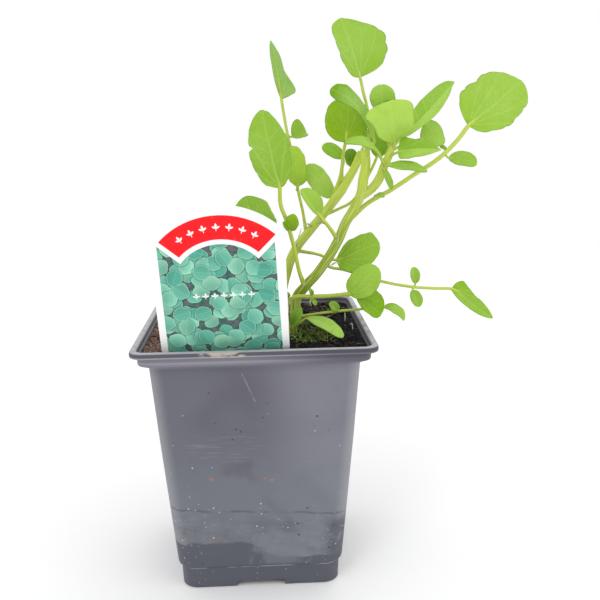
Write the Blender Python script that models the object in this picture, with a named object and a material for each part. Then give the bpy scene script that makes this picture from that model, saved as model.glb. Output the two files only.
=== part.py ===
"""Watercress in a square nursery pot, with a plant label leaning over the pot's front rim.

The origin is the middle of the pot's underside, on the surface that it stands on. +Z is up, and the
label faces -Y. Sizes and places are in millimetres, and MM turns them into metres.
"""

import math
from typing import NamedTuple

import bmesh
import bpy
from mathutils import Matrix, Vector, noise

MM = 0.001

# Pot: half its width at each level, and the radius of its upright corners there
RIM_TOP = 101.0
RIM_HALF = 45.0
RIM_INNER_HALF = 42.7
LIP_BOTTOM = 98.6
COLLAR_HALF = 42.6
COLLAR_BOTTOM = 95.2
BODY_TOP = 93.3
BODY_TOP_HALF = 39.3
STEP_HEIGHT = 9.6
BODY_BOTTOM_HALF = 32.8
FOOT_TOP_HALF = 31.6
FOOT_HALF = 31.3
WALL = 1.0
FLOOR_UNDERSIDE = 3.0
FLOOR_TOP = 4.2
EDGE = 0.5
RIM_CORNER = 5.0
BODY_CORNER = 7.0
FOOT_CORNER = 6.5
CORNER_STEPS = 4
NOTCH_WIDTH = 19.0
NOTCH_HEIGHT = 2.3
DRAIN_HOLE_RADIUS = 4.0
DRAIN_HOLE_REACH = 19.0
PAD_RADIUS = 7.0

# Compost
COMPOST_TOP = 98.6
COMPOST_LUMP = 0.9
COMPOST_LUMP_SIZE = 8.0
COMPOST_CELLS = 14
COMPOST_MOUND = 0.9
MOUND_START = 16.0
MOUND_END = 38.0
GAP = 0.3

# Label: a plate with an arched head and a stake, leaning forward and turned a little in its own plane
LABEL_WIDTH = 46.2
LABEL_THICKNESS = 0.8
LABEL_MIDDLE = -10.4
LABEL_FRONT_AT_RIM = -39.0
LABEL_LEAN = math.radians(16.0)
LABEL_TURN = math.radians(1.8)
LABEL_SHOULDER = 44.2
LABEL_ARCH_RADIUS = 30.6
LABEL_ARCH_STEPS = 12
LABEL_FOOT = -4.0
STAKE_TOP = -7.0
STAKE_WIDTH = 13.0
STAKE_POINT = -52.0
STAKE_TAPER = 12.0

SHARP_FROM = math.radians(40.0)

# Leaves
BLADE = 0.6
STALK_INTO_BLADE = 0.3
FULLNESS = 0.92
SCALLOP = 0.03
FRILL = 0.5
FRILL_WAVES = 2.3
ROW_LENGTH = 3.4
COLUMN_WIDTH = 2.8

COLOURS = {
    "pot": ((0.135, 0.138, 0.155), 0.5),
    "compost": ((0.025, 0.017, 0.012), 0.95),
    "label": ((0.20, 0.60, 0.42), 0.35),
    "leaves": ((0.27, 0.50, 0.05), 0.5),
}


class Leaf(NamedTuple):
    """A leaf stalk, and the blade that starts where the stalk ends.

    left and right give half the blade's width: one number, or those for its base, middle and tip.
    bend moves the middle of the blade sideways.
    """

    stalk: tuple
    tip: tuple
    face: tuple = (0.0, -0.9, 0.3)
    left: float | tuple = 3.0
    right: float | tuple = 3.0
    fold: float = 0.12
    arch: float = 1.0
    bend: float = 0.0
    lobe: float = 0.0
    radius: float = 0.55


class Stem(NamedTuple):
    """A stem's route from its root upwards, with its radius at each place."""

    route: tuple
    radii: tuple


# Main stem, forked near its top. Each list of leaves runs upwards.
MAIN_STEM = Stem(
    ((15, -13, 76), (15, -12, 100.5), (16, -10, 105), (17, -8, 112), (20, -8, 116), (26, -6, 122),
     (34, -4, 134), (37, -4, 141), (40, -4, 146), (43, -4, 152), (44, -4, 158), (45, -3, 163), (45, -2, 169)),
    (1.9, 2.1, 2.1, 2.0, 1.9, 1.9, 1.9, 1.9, 1.9, 2.0, 1.9, 1.8, 1.1),
)
MAIN_FORK = Stem(
    ((43, -4, 151), (47, -4, 154), (50, -5, 158), (52, -5, 163), (54, -6, 168), (55, -6, 172)),
    (1.5, 1.7, 1.8, 1.7, 1.5, 1.0),
)
MAIN_LEAVES = (
    Leaf(((15, -13, 100), (15, -15, 102)), (18, -17, 110), face=(-0.3, -0.9, 0.1), left=2.2, right=2.2,
         fold=0.4),
    Leaf(((15, -12, 100), (17, -14, 102.5), (21, -14, 105)), (33.4, -26.5, 100), face=(0.1, -0.5, 0.85),
         left=3.2, right=3.0, arch=1.6, radius=0.45),
    Leaf(((16, -9, 104), (24, -10, 105.5), (34, -8, 106), (45, -5, 106), (52.5, -4, 106.3)),
         (60.5, -6, 100.8), face=(0.2, -0.6, 0.8), left=(3.4, 3.0, 2.8), right=(2.2, 2.0, 1.0), arch=1.5,
         fold=0.5),
    Leaf(((33, -8.5, 106), (33.5, -9, 106.5)), (30, -9, 110), left=1.8, right=1.8, radius=0.4),
    Leaf(((20, -8, 117), (18, -10, 123), (16, -11, 133), (13, -13, 144), (11, -14, 150),
         (10.8, -14, 156.1)), (4.8, -17, 184.6), face=(-0.15, -0.95, 0.25), left=(8.8, 8.1, 6.0),
         right=(6.5, 7.3, 4.6), arch=1.5, radius=0.8),
    Leaf(((15, -12, 138), (14.5, -12.5, 139.5)), (16, -15, 146), left=2.7, right=2.7, radius=0.4),
    Leaf(((15, -12, 138), (14, -12.5, 139.5)), (12, -13, 143), left=1.1, right=1.1, radius=0.4),
    Leaf(((29, -6, 125), (32, 2, 122), (38, 7, 120), (45, 10, 117), (54, 11, 114), (68, 12, 111),
         (77, 13, 110), (86.6, 13, 108.8)), (102, 10, 97), face=(0.1, -0.95, 0.3), left=(11.0, 3.5, 1.3),
         right=(3.0, 2.7, 1.6), lobe=0.12, bend=1.0, arch=2.0, radius=0.65),
    Leaf(((68, 12, 111), (68.7, 12.5, 112.4)), (68.0, 14, 119.3), left=1.9, right=2.3, radius=0.4),
    Leaf(((68, 12, 111), (67.3, 11.5, 109.7)), (69.9, 9, 103), left=2.6, right=2.5, radius=0.4),
    Leaf(((34, -4, 134), (30, -8, 140), (26, -9, 145)), (19, -12, 155), face=(0.1, -0.95, 0.2), left=1.8,
         right=4.3, fold=0.2, radius=0.7),
    Leaf(((37, -4, 141), (40, -2, 143), (46, 0, 148), (56, 3, 153), (66, 5, 159), (76, 7, 165),
         (84, 9, 172), (89.5, 10, 178.6)), (111.3, 14, 195.3), face=(0.1, -0.95, 0.25),
         left=(20.0, 12.6, 6.8), right=(10.0, 10.4, 11.4), lobe=0.03, arch=1.5, radius=0.9),
    Leaf(((79, 8, 167), (80.3, 6.5, 165.2)), (91.2, 4, 163.2), face=(0.1, -0.9, 0.4), left=(3.5, 3.6, 3.6),
         right=(2.5, 3.0, 3.6), radius=0.4),
    Leaf(((78, 8, 167), (79.9, 8.5, 168.4)), (77.3, 10, 169.8), left=0.8, right=0.8, radius=0.4),
    Leaf(((49, 0.9, 149.5), (49, -3, 151.5)), (52, -6, 151), face=(0.0, -0.5, 0.8), left=1.3, right=1.3,
         radius=0.4),
    Leaf(((51, -5, 161), (51.5, -8, 162)), (54.3, -10, 154.5), left=1.3, right=1.3, radius=0.4),
    Leaf(((52, -5, 163), (53, -8, 163.6)), (66.8, -15, 161.2), face=(0.0, -0.7, 0.7), left=(2.2, 2.5, 2.2),
         right=(2.2, 2.5, 2.0), radius=0.45),
    Leaf(((53, -6, 166), (56.7, -9, 168.4)), (72.2, -14, 169.1), face=(0.0, -0.85, 0.5),
         left=(11.0, 4.0, 1.0), right=(6.5, 3.5, 1.0), arch=1.5, radius=0.5),
    Leaf(((51, -5, 160), (51.8, -6, 162.7)), (34.9, -21, 172.5), face=(0.1, -0.8, 0.6),
         left=(1.4, 2.0, 2.8), right=(1.5, 2.1, 2.8), bend=3.2, arch=3.0, radius=0.6),
    Leaf(((55, -5, 169), (61, 1, 171), (68.6, 6, 173)), (79.1, 11, 174), left=(6.5, 6.6, 6.5),
         right=(3.0, 4.6, 5.0), radius=0.5),
    Leaf(((54, -6, 169), (57, -3, 171.5), (60.2, 0, 173.9)), (82.9, 12, 195.3), face=(-0.4, -0.8, 0.4),
         left=(4.0, 5.0, 5.0), right=(3.0, 4.4, 0.8), fold=0.35, arch=-1.0, radius=0.6),
    Leaf(((55, -6, 169.5), (55.4, -7.5, 171.4)), (51.8, -15, 187.4), left=(0.5, 7.4, 21.5),
         right=(1.0, 7.8, 15.5), arch=2.5, radius=0.7),
    Leaf(((54, -6, 170), (52, -5, 178), (50.8, -6.5, 183.5)), (50.1, -8, 193.6), left=(4.0, 4.8, 5.5),
         right=(4.4, 5.0, 5.2), radius=0.5),
    Leaf(((45, -3, 165), (46, -4, 169), (48.1, -4.5, 172.3)), (30.4, -15, 191.9), face=(0.25, -0.85, 0.45),
         left=(1.8, 2.0, 7.5), right=(1.8, 2.8, 9.2), bend=2.2, arch=3.0, radius=0.6),
    Leaf(((45, -2, 167), (47, 1, 179), (46, 3, 187), (45, 4, 191), (43.6, 4, 197.2)), (36.4, 6, 219.4),
         face=(0.0, -0.95, 0.2), left=(5.9, 5.2, 9.4), right=(18.0, 13.6, 3.0), arch=1.5, radius=0.6),
)

SECOND_STEM = Stem(
    ((6, -1, 76), (7, -1, 100.5), (8.5, 2, 105), (11, 5, 110), (13, 7, 117), (17, 8, 128), (24, 9, 137),
     (30, 9, 144), (33, 8, 148), (37, 8, 154), (41, 8, 160), (45, 9, 168)),
    (1.9, 2.0, 2.0, 1.9, 1.9, 1.8, 1.8, 1.8, 2.3, 1.7, 1.7, 1.0),
)
SECOND_LEAVES = (
    Leaf(((18, 8, 128.5), (26, 7, 127), (34.8, 3.5, 124.9)), (51.2, 1, 131.9), left=(1.5, 5.8, 9.8),
         right=(9.0, 7.6, 6.5), lobe=0.06, radius=0.6),
    Leaf(((22, 9, 135), (21, 10, 143), (19, 11, 153), (17, 12, 167), (15, 12, 176), (14, 13, 182),
         (12.9, 13, 189.5)), (9.2, 15, 212.1), face=(0.2, -0.95, 0.1), left=(1.2, 1.9, 1.5),
         right=(13.0, 2.8, 1.0), fold=0.3, radius=0.6),
    Leaf(((18.5, 11, 153), (19, 10, 154.8)), (17.2, 10, 170.9), left=4.2, right=(6.0, 4.3, 4.5),
         radius=0.45),
    Leaf(((15, 12, 175), (17, 13, 174.5)), (23, 15, 176), face=(0.0, -0.8, 0.6), left=5.0, right=4.0,
         fold=0.6, radius=0.4),
    Leaf(((30, 9, 143), (36, 12, 145), (42, 14, 148), (46, 15, 154), (50, 15, 161), (52, 14, 166)),
         (55, 12, 178), left=4.0, right=4.0, radius=0.6),
    Leaf(((33, 8, 148.5), (33, 11, 150)), (23, 16, 163), face=(-0.2, -0.9, 0.3), left=4.3, right=4.3,
         radius=0.5),
    Leaf(((37, 8, 154), (37.5, 13, 161), (38, 15, 165.6)), (30.2, 20, 170.9), face=(-0.2, -0.8, 0.5),
         left=2.9, right=2.9, radius=0.5),
    Leaf(((41, 8, 158), (41.4, 11.5, 162)), (40.8, 14, 169.3), left=2.8, right=2.8, radius=0.45),
    Leaf(((33, 8, 150), (36, 6, 159), (37, 4, 168), (37.9, 1, 174.6)), (38.8, -0.5, 190.2),
         face=(-0.1, -0.95, 0.25), left=(11.0, 8.8, 7.0), right=(9.0, 8.5, 6.0), lobe=0.15, arch=1.5,
         radius=0.65),
    Leaf(((44, 9, 166), (47, 14, 171)), (56, 22, 178), face=(0.3, -0.3, 0.9), left=4.0, right=4.0,
         radius=0.5),
)

# A side shoot that crosses in front of the main stem, with its pair of leaves at its end
SIDE_SHOOT = Stem(
    ((9, -12, 76), (9, -13, 100), (11, -15, 108), (14.5, -15, 113), (23, -15, 113.7), (30.5, -14, 113.7),
     (38, -12, 114)),
    (0.9, 0.9, 0.9, 0.9, 0.8, 0.8, 0.6),
)
SIDE_LEAVES = (
    Leaf(((14, -15, 113), (13.4, -15.8, 114)), (12.6, -16.5, 116.3), left=0.9, right=0.9, radius=0.35),
    Leaf(((23, -15, 113.7), (22.6, -15.8, 114.6)), (21.6, -16.5, 117.4), left=0.8, right=0.9, radius=0.35),
    Leaf(((23, -15, 113.7), (23, -15.5, 112.5)), (24, -16, 110.5), left=0.9, right=0.9, radius=0.35),
    Leaf(((36, -12.8, 113.8), (37.8, -12, 113.3)), (48.3, -13, 124.5), left=(5.4, 5.5, 5.9),
         right=(5.6, 6.2, 6.2), radius=0.5),
    Leaf(((37, -12.3, 114), (40.4, -10.5, 112.7)), (50.8, -9, 104.4), face=(0.1, -0.9, 0.3),
         left=(4.0, 6.3, 6.0), right=(1.5, 3.3, 4.8), radius=0.45),
)

# The lone leaf behind the label
BACK_STEM = Stem(
    ((3, -7, 76), (3, -8, 100), (4, -13, 107), (5, -18, 122), (4, -21, 134)),
    (1.0, 1.0, 0.9, 0.9, 0.8),
)
BACK_LEAVES = (
    Leaf(((4.6, -20, 130), (4, -22, 137)), (-2, -28, 154), face=(-0.2, -0.85, 0.4), left=7.4, right=7.6,
         radius=0.7),
)


def material(name):
    colour, roughness = COLOURS[name]
    made = bpy.data.materials.new(name)
    made.use_nodes = True
    shader = made.node_tree.nodes["Principled BSDF"]
    shader.inputs["Base Color"].default_value = (*colour, 1.0)
    shader.inputs["Roughness"].default_value = roughness
    shader.inputs["Metallic"].default_value = 0.0
    return made


def shade(mesh):
    mesh.shade_smooth()
    mesh.set_sharp_from_angle(angle=SHARP_FROM)


def add_object(name, bm, collection=None):
    """A mesh object at the origin, its faces pointing outwards. The bmesh is in millimetres."""
    bmesh.ops.scale(bm, vec=Vector((MM, MM, MM)), verts=bm.verts)
    bmesh.ops.recalc_face_normals(bm, faces=bm.faces)
    mesh = bpy.data.meshes.new(name)
    bm.to_mesh(mesh)
    bm.free()
    shade(mesh)
    made = bpy.data.objects.new(name, mesh)
    (collection or bpy.context.scene.collection).objects.link(made)
    return made


def helpers(name):
    collection = bpy.data.collections.new(name)
    bpy.context.scene.collection.children.link(collection)
    return collection


def as_guide(helper):
    helper.hide_render = True
    helper.display_type = "WIRE"


def boolean(target, operation, collection):
    cut = target.modifiers.new(collection.name, "BOOLEAN")
    cut.operation = operation
    cut.operand_type = "COLLECTION"
    cut.collection = collection
    cut.solver = "EXACT"


def rounded_square(bm, half, height, corner):
    """The corners of a square with rounded corners, at one level, in their order."""
    ring = []
    for quarter in range(4):
        for step in range(CORNER_STEPS + 1):
            angle = math.radians(90.0 * (quarter + step / CORNER_STEPS))
            middle = Vector((half - corner, half - corner, height))
            middle.rotate(Matrix.Rotation(math.radians(90.0 * quarter), 3, "Z"))
            ring.append(bm.verts.new(middle + corner * Vector((math.cos(angle), math.sin(angle), 0.0))))
    return ring


def loft(levels):
    """A closed shape through rounded squares, each given as half width, level and corner radius."""
    bm = bmesh.new()
    rings = [rounded_square(bm, *level) for level in levels]
    for lower, upper in zip(rings, rings[1:]):
        for i in range(len(lower)):
            bm.faces.new((lower[i - 1], lower[i], upper[i], upper[i - 1]))
    bm.faces.new(rings[0])
    bm.faces.new(rings[-1])
    return bm


def box(size, middle):
    bm = bmesh.new()
    bmesh.ops.create_cube(bm, size=1.0)
    bmesh.ops.scale(bm, vec=Vector(size), verts=bm.verts)
    bmesh.ops.translate(bm, vec=Vector(middle), verts=bm.verts)
    return bm


def rod(start, end, radius, sides):
    """A straight round bar between two places."""
    start, end = Vector(start), Vector(end)
    bm = bmesh.new()
    bmesh.ops.create_cone(bm, cap_ends=True, segments=sides, radius1=radius, radius2=radius,
                          depth=(end - start).length)
    turn = (end - start).to_track_quat("Z", "Y").to_matrix().to_4x4()
    bmesh.ops.transform(bm, matrix=Matrix.Translation((start + end) / 2) @ turn, verts=bm.verts)
    return bm


def inner_half(height):
    """Half the width of the pot's inside, on its tapered wall."""
    share = (height - STEP_HEIGHT) / (BODY_TOP - STEP_HEIGHT)
    return BODY_BOTTOM_HALF + share * (BODY_TOP_HALF - BODY_BOTTOM_HALF) - WALL


def make_pot():
    inside_foot = FOOT_HALF - WALL
    levels = (
        (inside_foot, FLOOR_UNDERSIDE, FOOT_CORNER - WALL),
        (inside_foot, 0.0, FOOT_CORNER - WALL),
        (FOOT_HALF - EDGE, 0.0, FOOT_CORNER - EDGE),
        (FOOT_HALF, EDGE, FOOT_CORNER),
        (FOOT_TOP_HALF, STEP_HEIGHT - EDGE, FOOT_CORNER),
        (BODY_BOTTOM_HALF, STEP_HEIGHT, BODY_CORNER),
        (BODY_TOP_HALF, BODY_TOP, BODY_CORNER),
        (COLLAR_HALF, COLLAR_BOTTOM, RIM_CORNER),
        (COLLAR_HALF, LIP_BOTTOM, RIM_CORNER),
        (RIM_HALF - EDGE, LIP_BOTTOM, RIM_CORNER),
        (RIM_HALF, LIP_BOTTOM + EDGE, RIM_CORNER),
        (RIM_HALF, RIM_TOP - EDGE, RIM_CORNER),
        (RIM_HALF - EDGE, RIM_TOP, RIM_CORNER - EDGE),
        (RIM_INNER_HALF, RIM_TOP, RIM_CORNER - WALL),
        (RIM_INNER_HALF - EDGE, RIM_TOP - EDGE, RIM_CORNER - WALL),
        (COLLAR_HALF - WALL - 0.2, COLLAR_BOTTOM + EDGE, RIM_CORNER - WALL),
        (inner_half(BODY_TOP) + 0.05, BODY_TOP + EDGE, BODY_CORNER - WALL),
        (inner_half(STEP_HEIGHT), STEP_HEIGHT, BODY_CORNER - WALL),
        (FOOT_TOP_HALF - WALL, STEP_HEIGHT - EDGE, FOOT_CORNER - WALL),
        (FOOT_HALF - WALL, FLOOR_TOP, FOOT_CORNER - WALL),
    )
    pot = add_object("pot", loft(levels))
    pot.data.materials.append(material("pot"))

    added = helpers("pot_pad")
    as_guide(add_object("pad", rod((0, 0, 0), (0, 0, FLOOR_UNDERSIDE + EDGE), PAD_RADIUS, 16), added))
    cutters = helpers("pot_cutters")
    for quarter in range(4):
        turn = Matrix.Rotation(math.radians(90.0 * quarter), 3, "Z")
        notch = box((NOTCH_WIDTH, 6.0, 2 * NOTCH_HEIGHT), (0.0, -FOOT_HALF, 0.0))
        bmesh.ops.rotate(notch, matrix=turn, verts=notch.verts)
        as_guide(add_object("notch", notch, cutters))
        place = turn @ Vector((DRAIN_HOLE_REACH, DRAIN_HOLE_REACH, 0.0))
        hole = rod(place, place + Vector((0, 0, 2 * FLOOR_TOP)), DRAIN_HOLE_RADIUS, 12)
        as_guide(add_object("drain_hole", hole, cutters))
    boolean(pot, "UNION", added)
    boolean(pot, "DIFFERENCE", cutters)
    return pot


def compost_lump(x, y):
    """How far the compost's surface is above its level: soft lumps, and a mound at the left."""
    near = noise.noise(Vector((x, y, 0.0)) / COMPOST_LUMP_SIZE)
    wide = noise.noise(Vector((x, y, 40.0)) / (3 * COMPOST_LUMP_SIZE))
    share = min(1.0, max(0.0, (-x - MOUND_START) / (MOUND_END - MOUND_START)))
    return COMPOST_LUMP * (near + wide) + COMPOST_MOUND * share * share * (3.0 - 2.0 * share)


def into_rounded_square(x, y, half, corner):
    """Moves a place of a square grid into the square with round corners."""
    over_x = abs(x) - (half - corner)
    over_y = abs(y) - (half - corner)
    if over_x <= 0 or over_y <= 0:
        return x, y
    pull = max(over_x, over_y) / math.hypot(over_x, over_y)
    return (math.copysign(half - corner + pull * over_x, x), math.copysign(half - corner + pull * over_y, y))


def make_compost(stems):
    """The compost: a lumpy top over sides that follow the pot's inside, with a hole for each stem."""
    levels = (
        (RIM_INNER_HALF - 1.3, COMPOST_TOP, RIM_CORNER - WALL),
        (COLLAR_HALF - WALL - 2 * GAP, COLLAR_BOTTOM + EDGE + GAP, RIM_CORNER - WALL),
        (inner_half(BODY_TOP) - 2 * GAP, BODY_TOP + EDGE, BODY_CORNER - WALL),
        (inner_half(STEP_HEIGHT) - GAP, STEP_HEIGHT + GAP, BODY_CORNER - WALL),
        (FOOT_TOP_HALF - WALL - 2 * GAP, STEP_HEIGHT - EDGE, FOOT_CORNER - WALL),
        (FOOT_HALF - WALL - GAP, FLOOR_TOP + GAP, FOOT_CORNER - WALL),
    )
    bm = bmesh.new()
    bmesh.ops.create_grid(bm, x_segments=COMPOST_CELLS, y_segments=COMPOST_CELLS, size=1.0)
    square = {vert: vert.co.copy() for vert in bm.verts}
    rim = [edge for edge in bm.edges if edge.is_boundary]
    half, level, corner = levels[0]
    for vert in bm.verts:
        x, y = into_rounded_square(half * square[vert].x, half * square[vert].y, half, corner)
        inside = 1.0 - max(abs(square[vert].x), abs(square[vert].y)) ** 16
        vert.co = Vector((x, y, level + inside * compost_lump(x, y)))
    for half, level, corner in levels[1:]:
        grown = bmesh.ops.extrude_edge_only(bm, edges=rim)["geom"]
        rim = [item for item in grown if isinstance(item, bmesh.types.BMEdge) and item.is_boundary]
        scale = max(abs(vert.co.x) for edge in rim for vert in edge.verts)
        for vert in {vert for edge in rim for vert in edge.verts}:
            x, y = into_rounded_square(half * vert.co.x / scale, half * vert.co.y / scale, half, corner)
            vert.co = Vector((x, y, level))
    bmesh.ops.contextual_create(bm, geom=rim)
    compost = add_object("compost", bm)
    compost.data.materials.append(material("compost"))

    cutters = helpers("compost_cutters")
    for number, stem in enumerate(stems):
        root, surface = Vector(stem.route[0]), Vector(stem.route[1])
        down = (root - surface).normalized()
        hole = rod(root + 0.8 * down, surface - 6.0 * down, stem.radii[1] + 0.5, 8)
        as_guide(add_object("stem_hole_%d" % number, hole, cutters))
    slot = label_solid(grow=GAP + 0.1)
    as_guide(add_object("label_slot", slot, cutters))
    boolean(compost, "DIFFERENCE", cutters)
    return compost


def label_solid(grow=0.0):
    """The label, as a thick outline put in its place. A grown one cuts its slot in the compost."""
    half = LABEL_WIDTH / 2 + grow
    radius = LABEL_ARCH_RADIUS + grow
    spread = math.asin(half / radius)
    arch_middle = LABEL_SHOULDER - math.sqrt(LABEL_ARCH_RADIUS**2 - (LABEL_WIDTH / 2) ** 2)
    stake = STAKE_WIDTH / 2 + grow
    outline = []
    for step in range(LABEL_ARCH_STEPS + 1):
        angle = spread * (1 - 2 * step / LABEL_ARCH_STEPS)
        outline.append((radius * math.sin(angle), arch_middle + radius * math.cos(angle)))
    outline += [(-half, LABEL_FOOT + 1), (-half + 1, LABEL_FOOT - grow), (-stake, STAKE_TOP - grow)]
    outline += [(-stake, STAKE_POINT + STAKE_TAPER), (0.0, STAKE_POINT - 2 * grow)]
    outline += [(stake, STAKE_POINT + STAKE_TAPER), (stake, STAKE_TOP - grow), (half - 1, LABEL_FOOT - grow)]
    outline.append((half, LABEL_FOOT + 1))
    bm = bmesh.new()
    face = bm.faces.new([bm.verts.new((across, -grow, up)) for across, up in outline])
    solid = bmesh.ops.extrude_face_region(bm, geom=[face])
    back = [item for item in solid["geom"] if isinstance(item, bmesh.types.BMVert)]
    bmesh.ops.translate(bm, vec=Vector((0, LABEL_THICKNESS + 2 * grow, 0)), verts=back)
    place = Matrix.Translation((LABEL_MIDDLE, LABEL_FRONT_AT_RIM, RIM_TOP))
    turn = Matrix.Rotation(LABEL_LEAN, 4, "X") @ Matrix.Rotation(-LABEL_TURN, 4, "Y")
    bmesh.ops.transform(bm, matrix=place @ turn, verts=bm.verts)
    return bm


def make_label():
    label = add_object("label", label_solid())
    label.data.materials.append(material("label"))
    return label


def tube(places, radii, collection, rooted=False):
    """A smooth round shoot through the places, closed at both ends. A rooted one starts straight."""
    curve = bpy.data.curves.new("shoot", "CURVE")
    curve.dimensions = "3D"
    curve.resolution_u = 2
    curve.bevel_depth = MM
    curve.bevel_resolution = 1
    curve.use_fill_caps = True
    spline = curve.splines.new("BEZIER")
    spline.bezier_points.add(len(places) - 1)
    for point, place, radius in zip(spline.bezier_points, places, radii):
        point.co = MM * Vector(place)
        point.radius = radius
        point.handle_left_type = "AUTO"
        point.handle_right_type = "AUTO"
    if rooted:
        spline.bezier_points[0].handle_right_type = "VECTOR"
        spline.bezier_points[1].handle_left_type = "VECTOR"
    shape = bpy.data.objects.new("shoot", curve)
    bpy.context.scene.collection.objects.link(shape)
    bpy.context.view_layer.update()
    bm = bmesh.new()
    bm.from_mesh(shape.evaluated_get(bpy.context.evaluated_depsgraph_get()).to_mesh())
    bpy.data.objects.remove(shape)
    bmesh.ops.remove_doubles(bm, verts=bm.verts, dist=0.02 * MM)
    bmesh.ops.scale(bm, vec=Vector((1, 1, 1)) / MM, verts=bm.verts)
    return add_object("shoot", bm, collection)


def half_width(shape, turn):
    """Half a blade's width. turn runs from 0 at its base to pi at its tip."""
    base, middle, tip = shape if isinstance(shape, tuple) else (shape, shape, shape)
    end = base if turn < math.pi / 2 else tip
    share = math.cos(turn) ** 2
    return (middle * (1.0 - share) + end * share) * max(0.0, math.sin(turn)) ** FULLNESS


def blade_rows(leaf):
    return min(10, max(4, round((Vector(leaf.tip) - Vector(leaf.stalk[-1])).length / ROW_LENGTH) + 1))


def blade_place(leaf, turn, across):
    """A place on a blade's middle surface. turn runs 0 to pi to the tip, and across -1 to 1."""
    base, tip = Vector(leaf.stalk[-1]), Vector(leaf.tip)
    ahead = (tip - base).normalized()
    up = Vector(leaf.face)
    up = (up - up.dot(ahead) * ahead).normalized()
    side = ahead.cross(up)
    length = (tip - base).length
    along = (1.0 - math.cos(turn)) / 2.0
    half = half_width(leaf.left if across < 0 else leaf.right, turn)
    half *= 1.0 + SCALLOP * math.cos(blade_rows(leaf) * turn) * across**2
    forward = length * (along - leaf.lobe * across**2 * (1.0 - along) ** 2)
    swell = 4.0 * along * (1.0 - along)
    frill = FRILL * math.sin(2 * math.pi * FRILL_WAVES * along + (across > 0)) * abs(across) ** 3
    rise = leaf.fold * half * abs(across) ** 1.3 + leaf.arch * swell + frill * math.sin(turn)
    return base + forward * ahead + (half * across + leaf.bend * swell) * side + rise * up


def blade(leaf, collection):
    """A leaf blade as a thin waved solid, split into the same triangles above and below."""
    width = half_width(leaf.left, math.pi / 2) + half_width(leaf.right, math.pi / 2)
    columns = 2 * min(3, max(1, round(width / COLUMN_WIDTH)))
    bm = bmesh.new()
    bmesh.ops.create_grid(bm, x_segments=columns, y_segments=blade_rows(leaf), size=1.0)
    for vert in bm.verts:
        vert.co = blade_place(leaf, math.pi * (vert.co.y + 1.0) / 2.0, vert.co.x)
    bmesh.ops.remove_doubles(bm, verts=bm.verts, dist=0.01)
    bmesh.ops.triangulate(bm, faces=bm.faces)
    bmesh.ops.recalc_face_normals(bm, faces=bm.faces)
    bmesh.ops.solidify(bm, geom=bm.faces[:], thickness=BLADE)
    return add_object("blade", bm, collection)


def leaf_pieces(leaf, collection):
    """The blade, and its stalk, which runs on into the blade as a midrib."""
    blade(leaf, collection)
    shares = (0.4 * STALK_INTO_BLADE, STALK_INTO_BLADE)
    inside = [blade_place(leaf, math.acos(1.0 - 2.0 * share), 0.0) for share in shares]
    places = list(leaf.stalk) + inside
    radii = [1.25 * leaf.radius] + [leaf.radius] * (len(leaf.stalk) - 1)
    radii += [0.85 * leaf.radius, 0.6 * leaf.radius]
    tube(places, radii, collection)


def make_shoot(name, stems, leaves):
    """One leafy stem: its stems, leaf stalks and blades, fused into one body."""
    pieces = helpers(name + "_pieces")
    for stem in stems:
        tube(stem.route, stem.radii, pieces, rooted=stem.route[0][2] < LIP_BOTTOM)
    for leaf in leaves:
        leaf_pieces(leaf, pieces)
    first = pieces.objects[0]
    pieces.objects.unlink(first)
    bpy.context.scene.collection.objects.link(first)
    boolean(first, "UNION", pieces)
    bpy.context.view_layer.update()
    fused = first.evaluated_get(bpy.context.evaluated_depsgraph_get())
    mesh = bpy.data.meshes.new_from_object(fused)
    mesh.name = name
    for piece in [first, *pieces.objects]:
        bpy.data.objects.remove(piece)
    bpy.data.collections.remove(pieces)
    shoot = bpy.data.objects.new(name, mesh)
    bpy.context.scene.collection.objects.link(shoot)
    shade(mesh)
    mesh.materials.clear()
    mesh.materials.append(bpy.data.materials.get("leaves") or material("leaves"))
    return shoot


def main():
    for old in list(bpy.data.objects):
        bpy.data.objects.remove(old)
    make_pot()
    make_compost((MAIN_STEM, SECOND_STEM, SIDE_SHOOT, BACK_STEM))
    make_label()
    make_shoot("main_stem", (MAIN_STEM, MAIN_FORK), MAIN_LEAVES)
    make_shoot("second_stem", (SECOND_STEM,), SECOND_LEAVES)
    make_shoot("side_shoot", (SIDE_SHOOT,), SIDE_LEAVES)
    make_shoot("back_leaf", (BACK_STEM,), BACK_LEAVES)


main()
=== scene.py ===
import math
import random
from random import uniform
from typing import NamedTuple

import bmesh
import bpy
from mathutils import Matrix, Vector, noise


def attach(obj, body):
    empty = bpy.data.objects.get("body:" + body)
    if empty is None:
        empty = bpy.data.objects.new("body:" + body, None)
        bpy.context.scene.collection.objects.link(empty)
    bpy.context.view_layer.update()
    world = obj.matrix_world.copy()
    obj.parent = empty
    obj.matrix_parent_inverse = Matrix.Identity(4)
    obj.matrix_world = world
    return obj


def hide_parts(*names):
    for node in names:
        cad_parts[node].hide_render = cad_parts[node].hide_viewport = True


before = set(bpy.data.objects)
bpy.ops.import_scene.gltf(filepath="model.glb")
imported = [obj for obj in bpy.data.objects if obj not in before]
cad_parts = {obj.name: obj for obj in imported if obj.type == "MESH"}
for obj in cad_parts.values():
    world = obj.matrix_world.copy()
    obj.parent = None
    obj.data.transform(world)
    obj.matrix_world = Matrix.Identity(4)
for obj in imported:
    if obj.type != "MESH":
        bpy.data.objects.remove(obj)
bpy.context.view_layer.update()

MM = 0.001

# Camera
LENS = 46.86
CAMERA_PLACE = (3.22, -312.11, 177.75)
CAMERA_YAW = math.radians(-2.824)
CAMERA_PITCH = math.radians(12.376)
CAMERA_ROLL = math.radians(-0.820)

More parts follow.
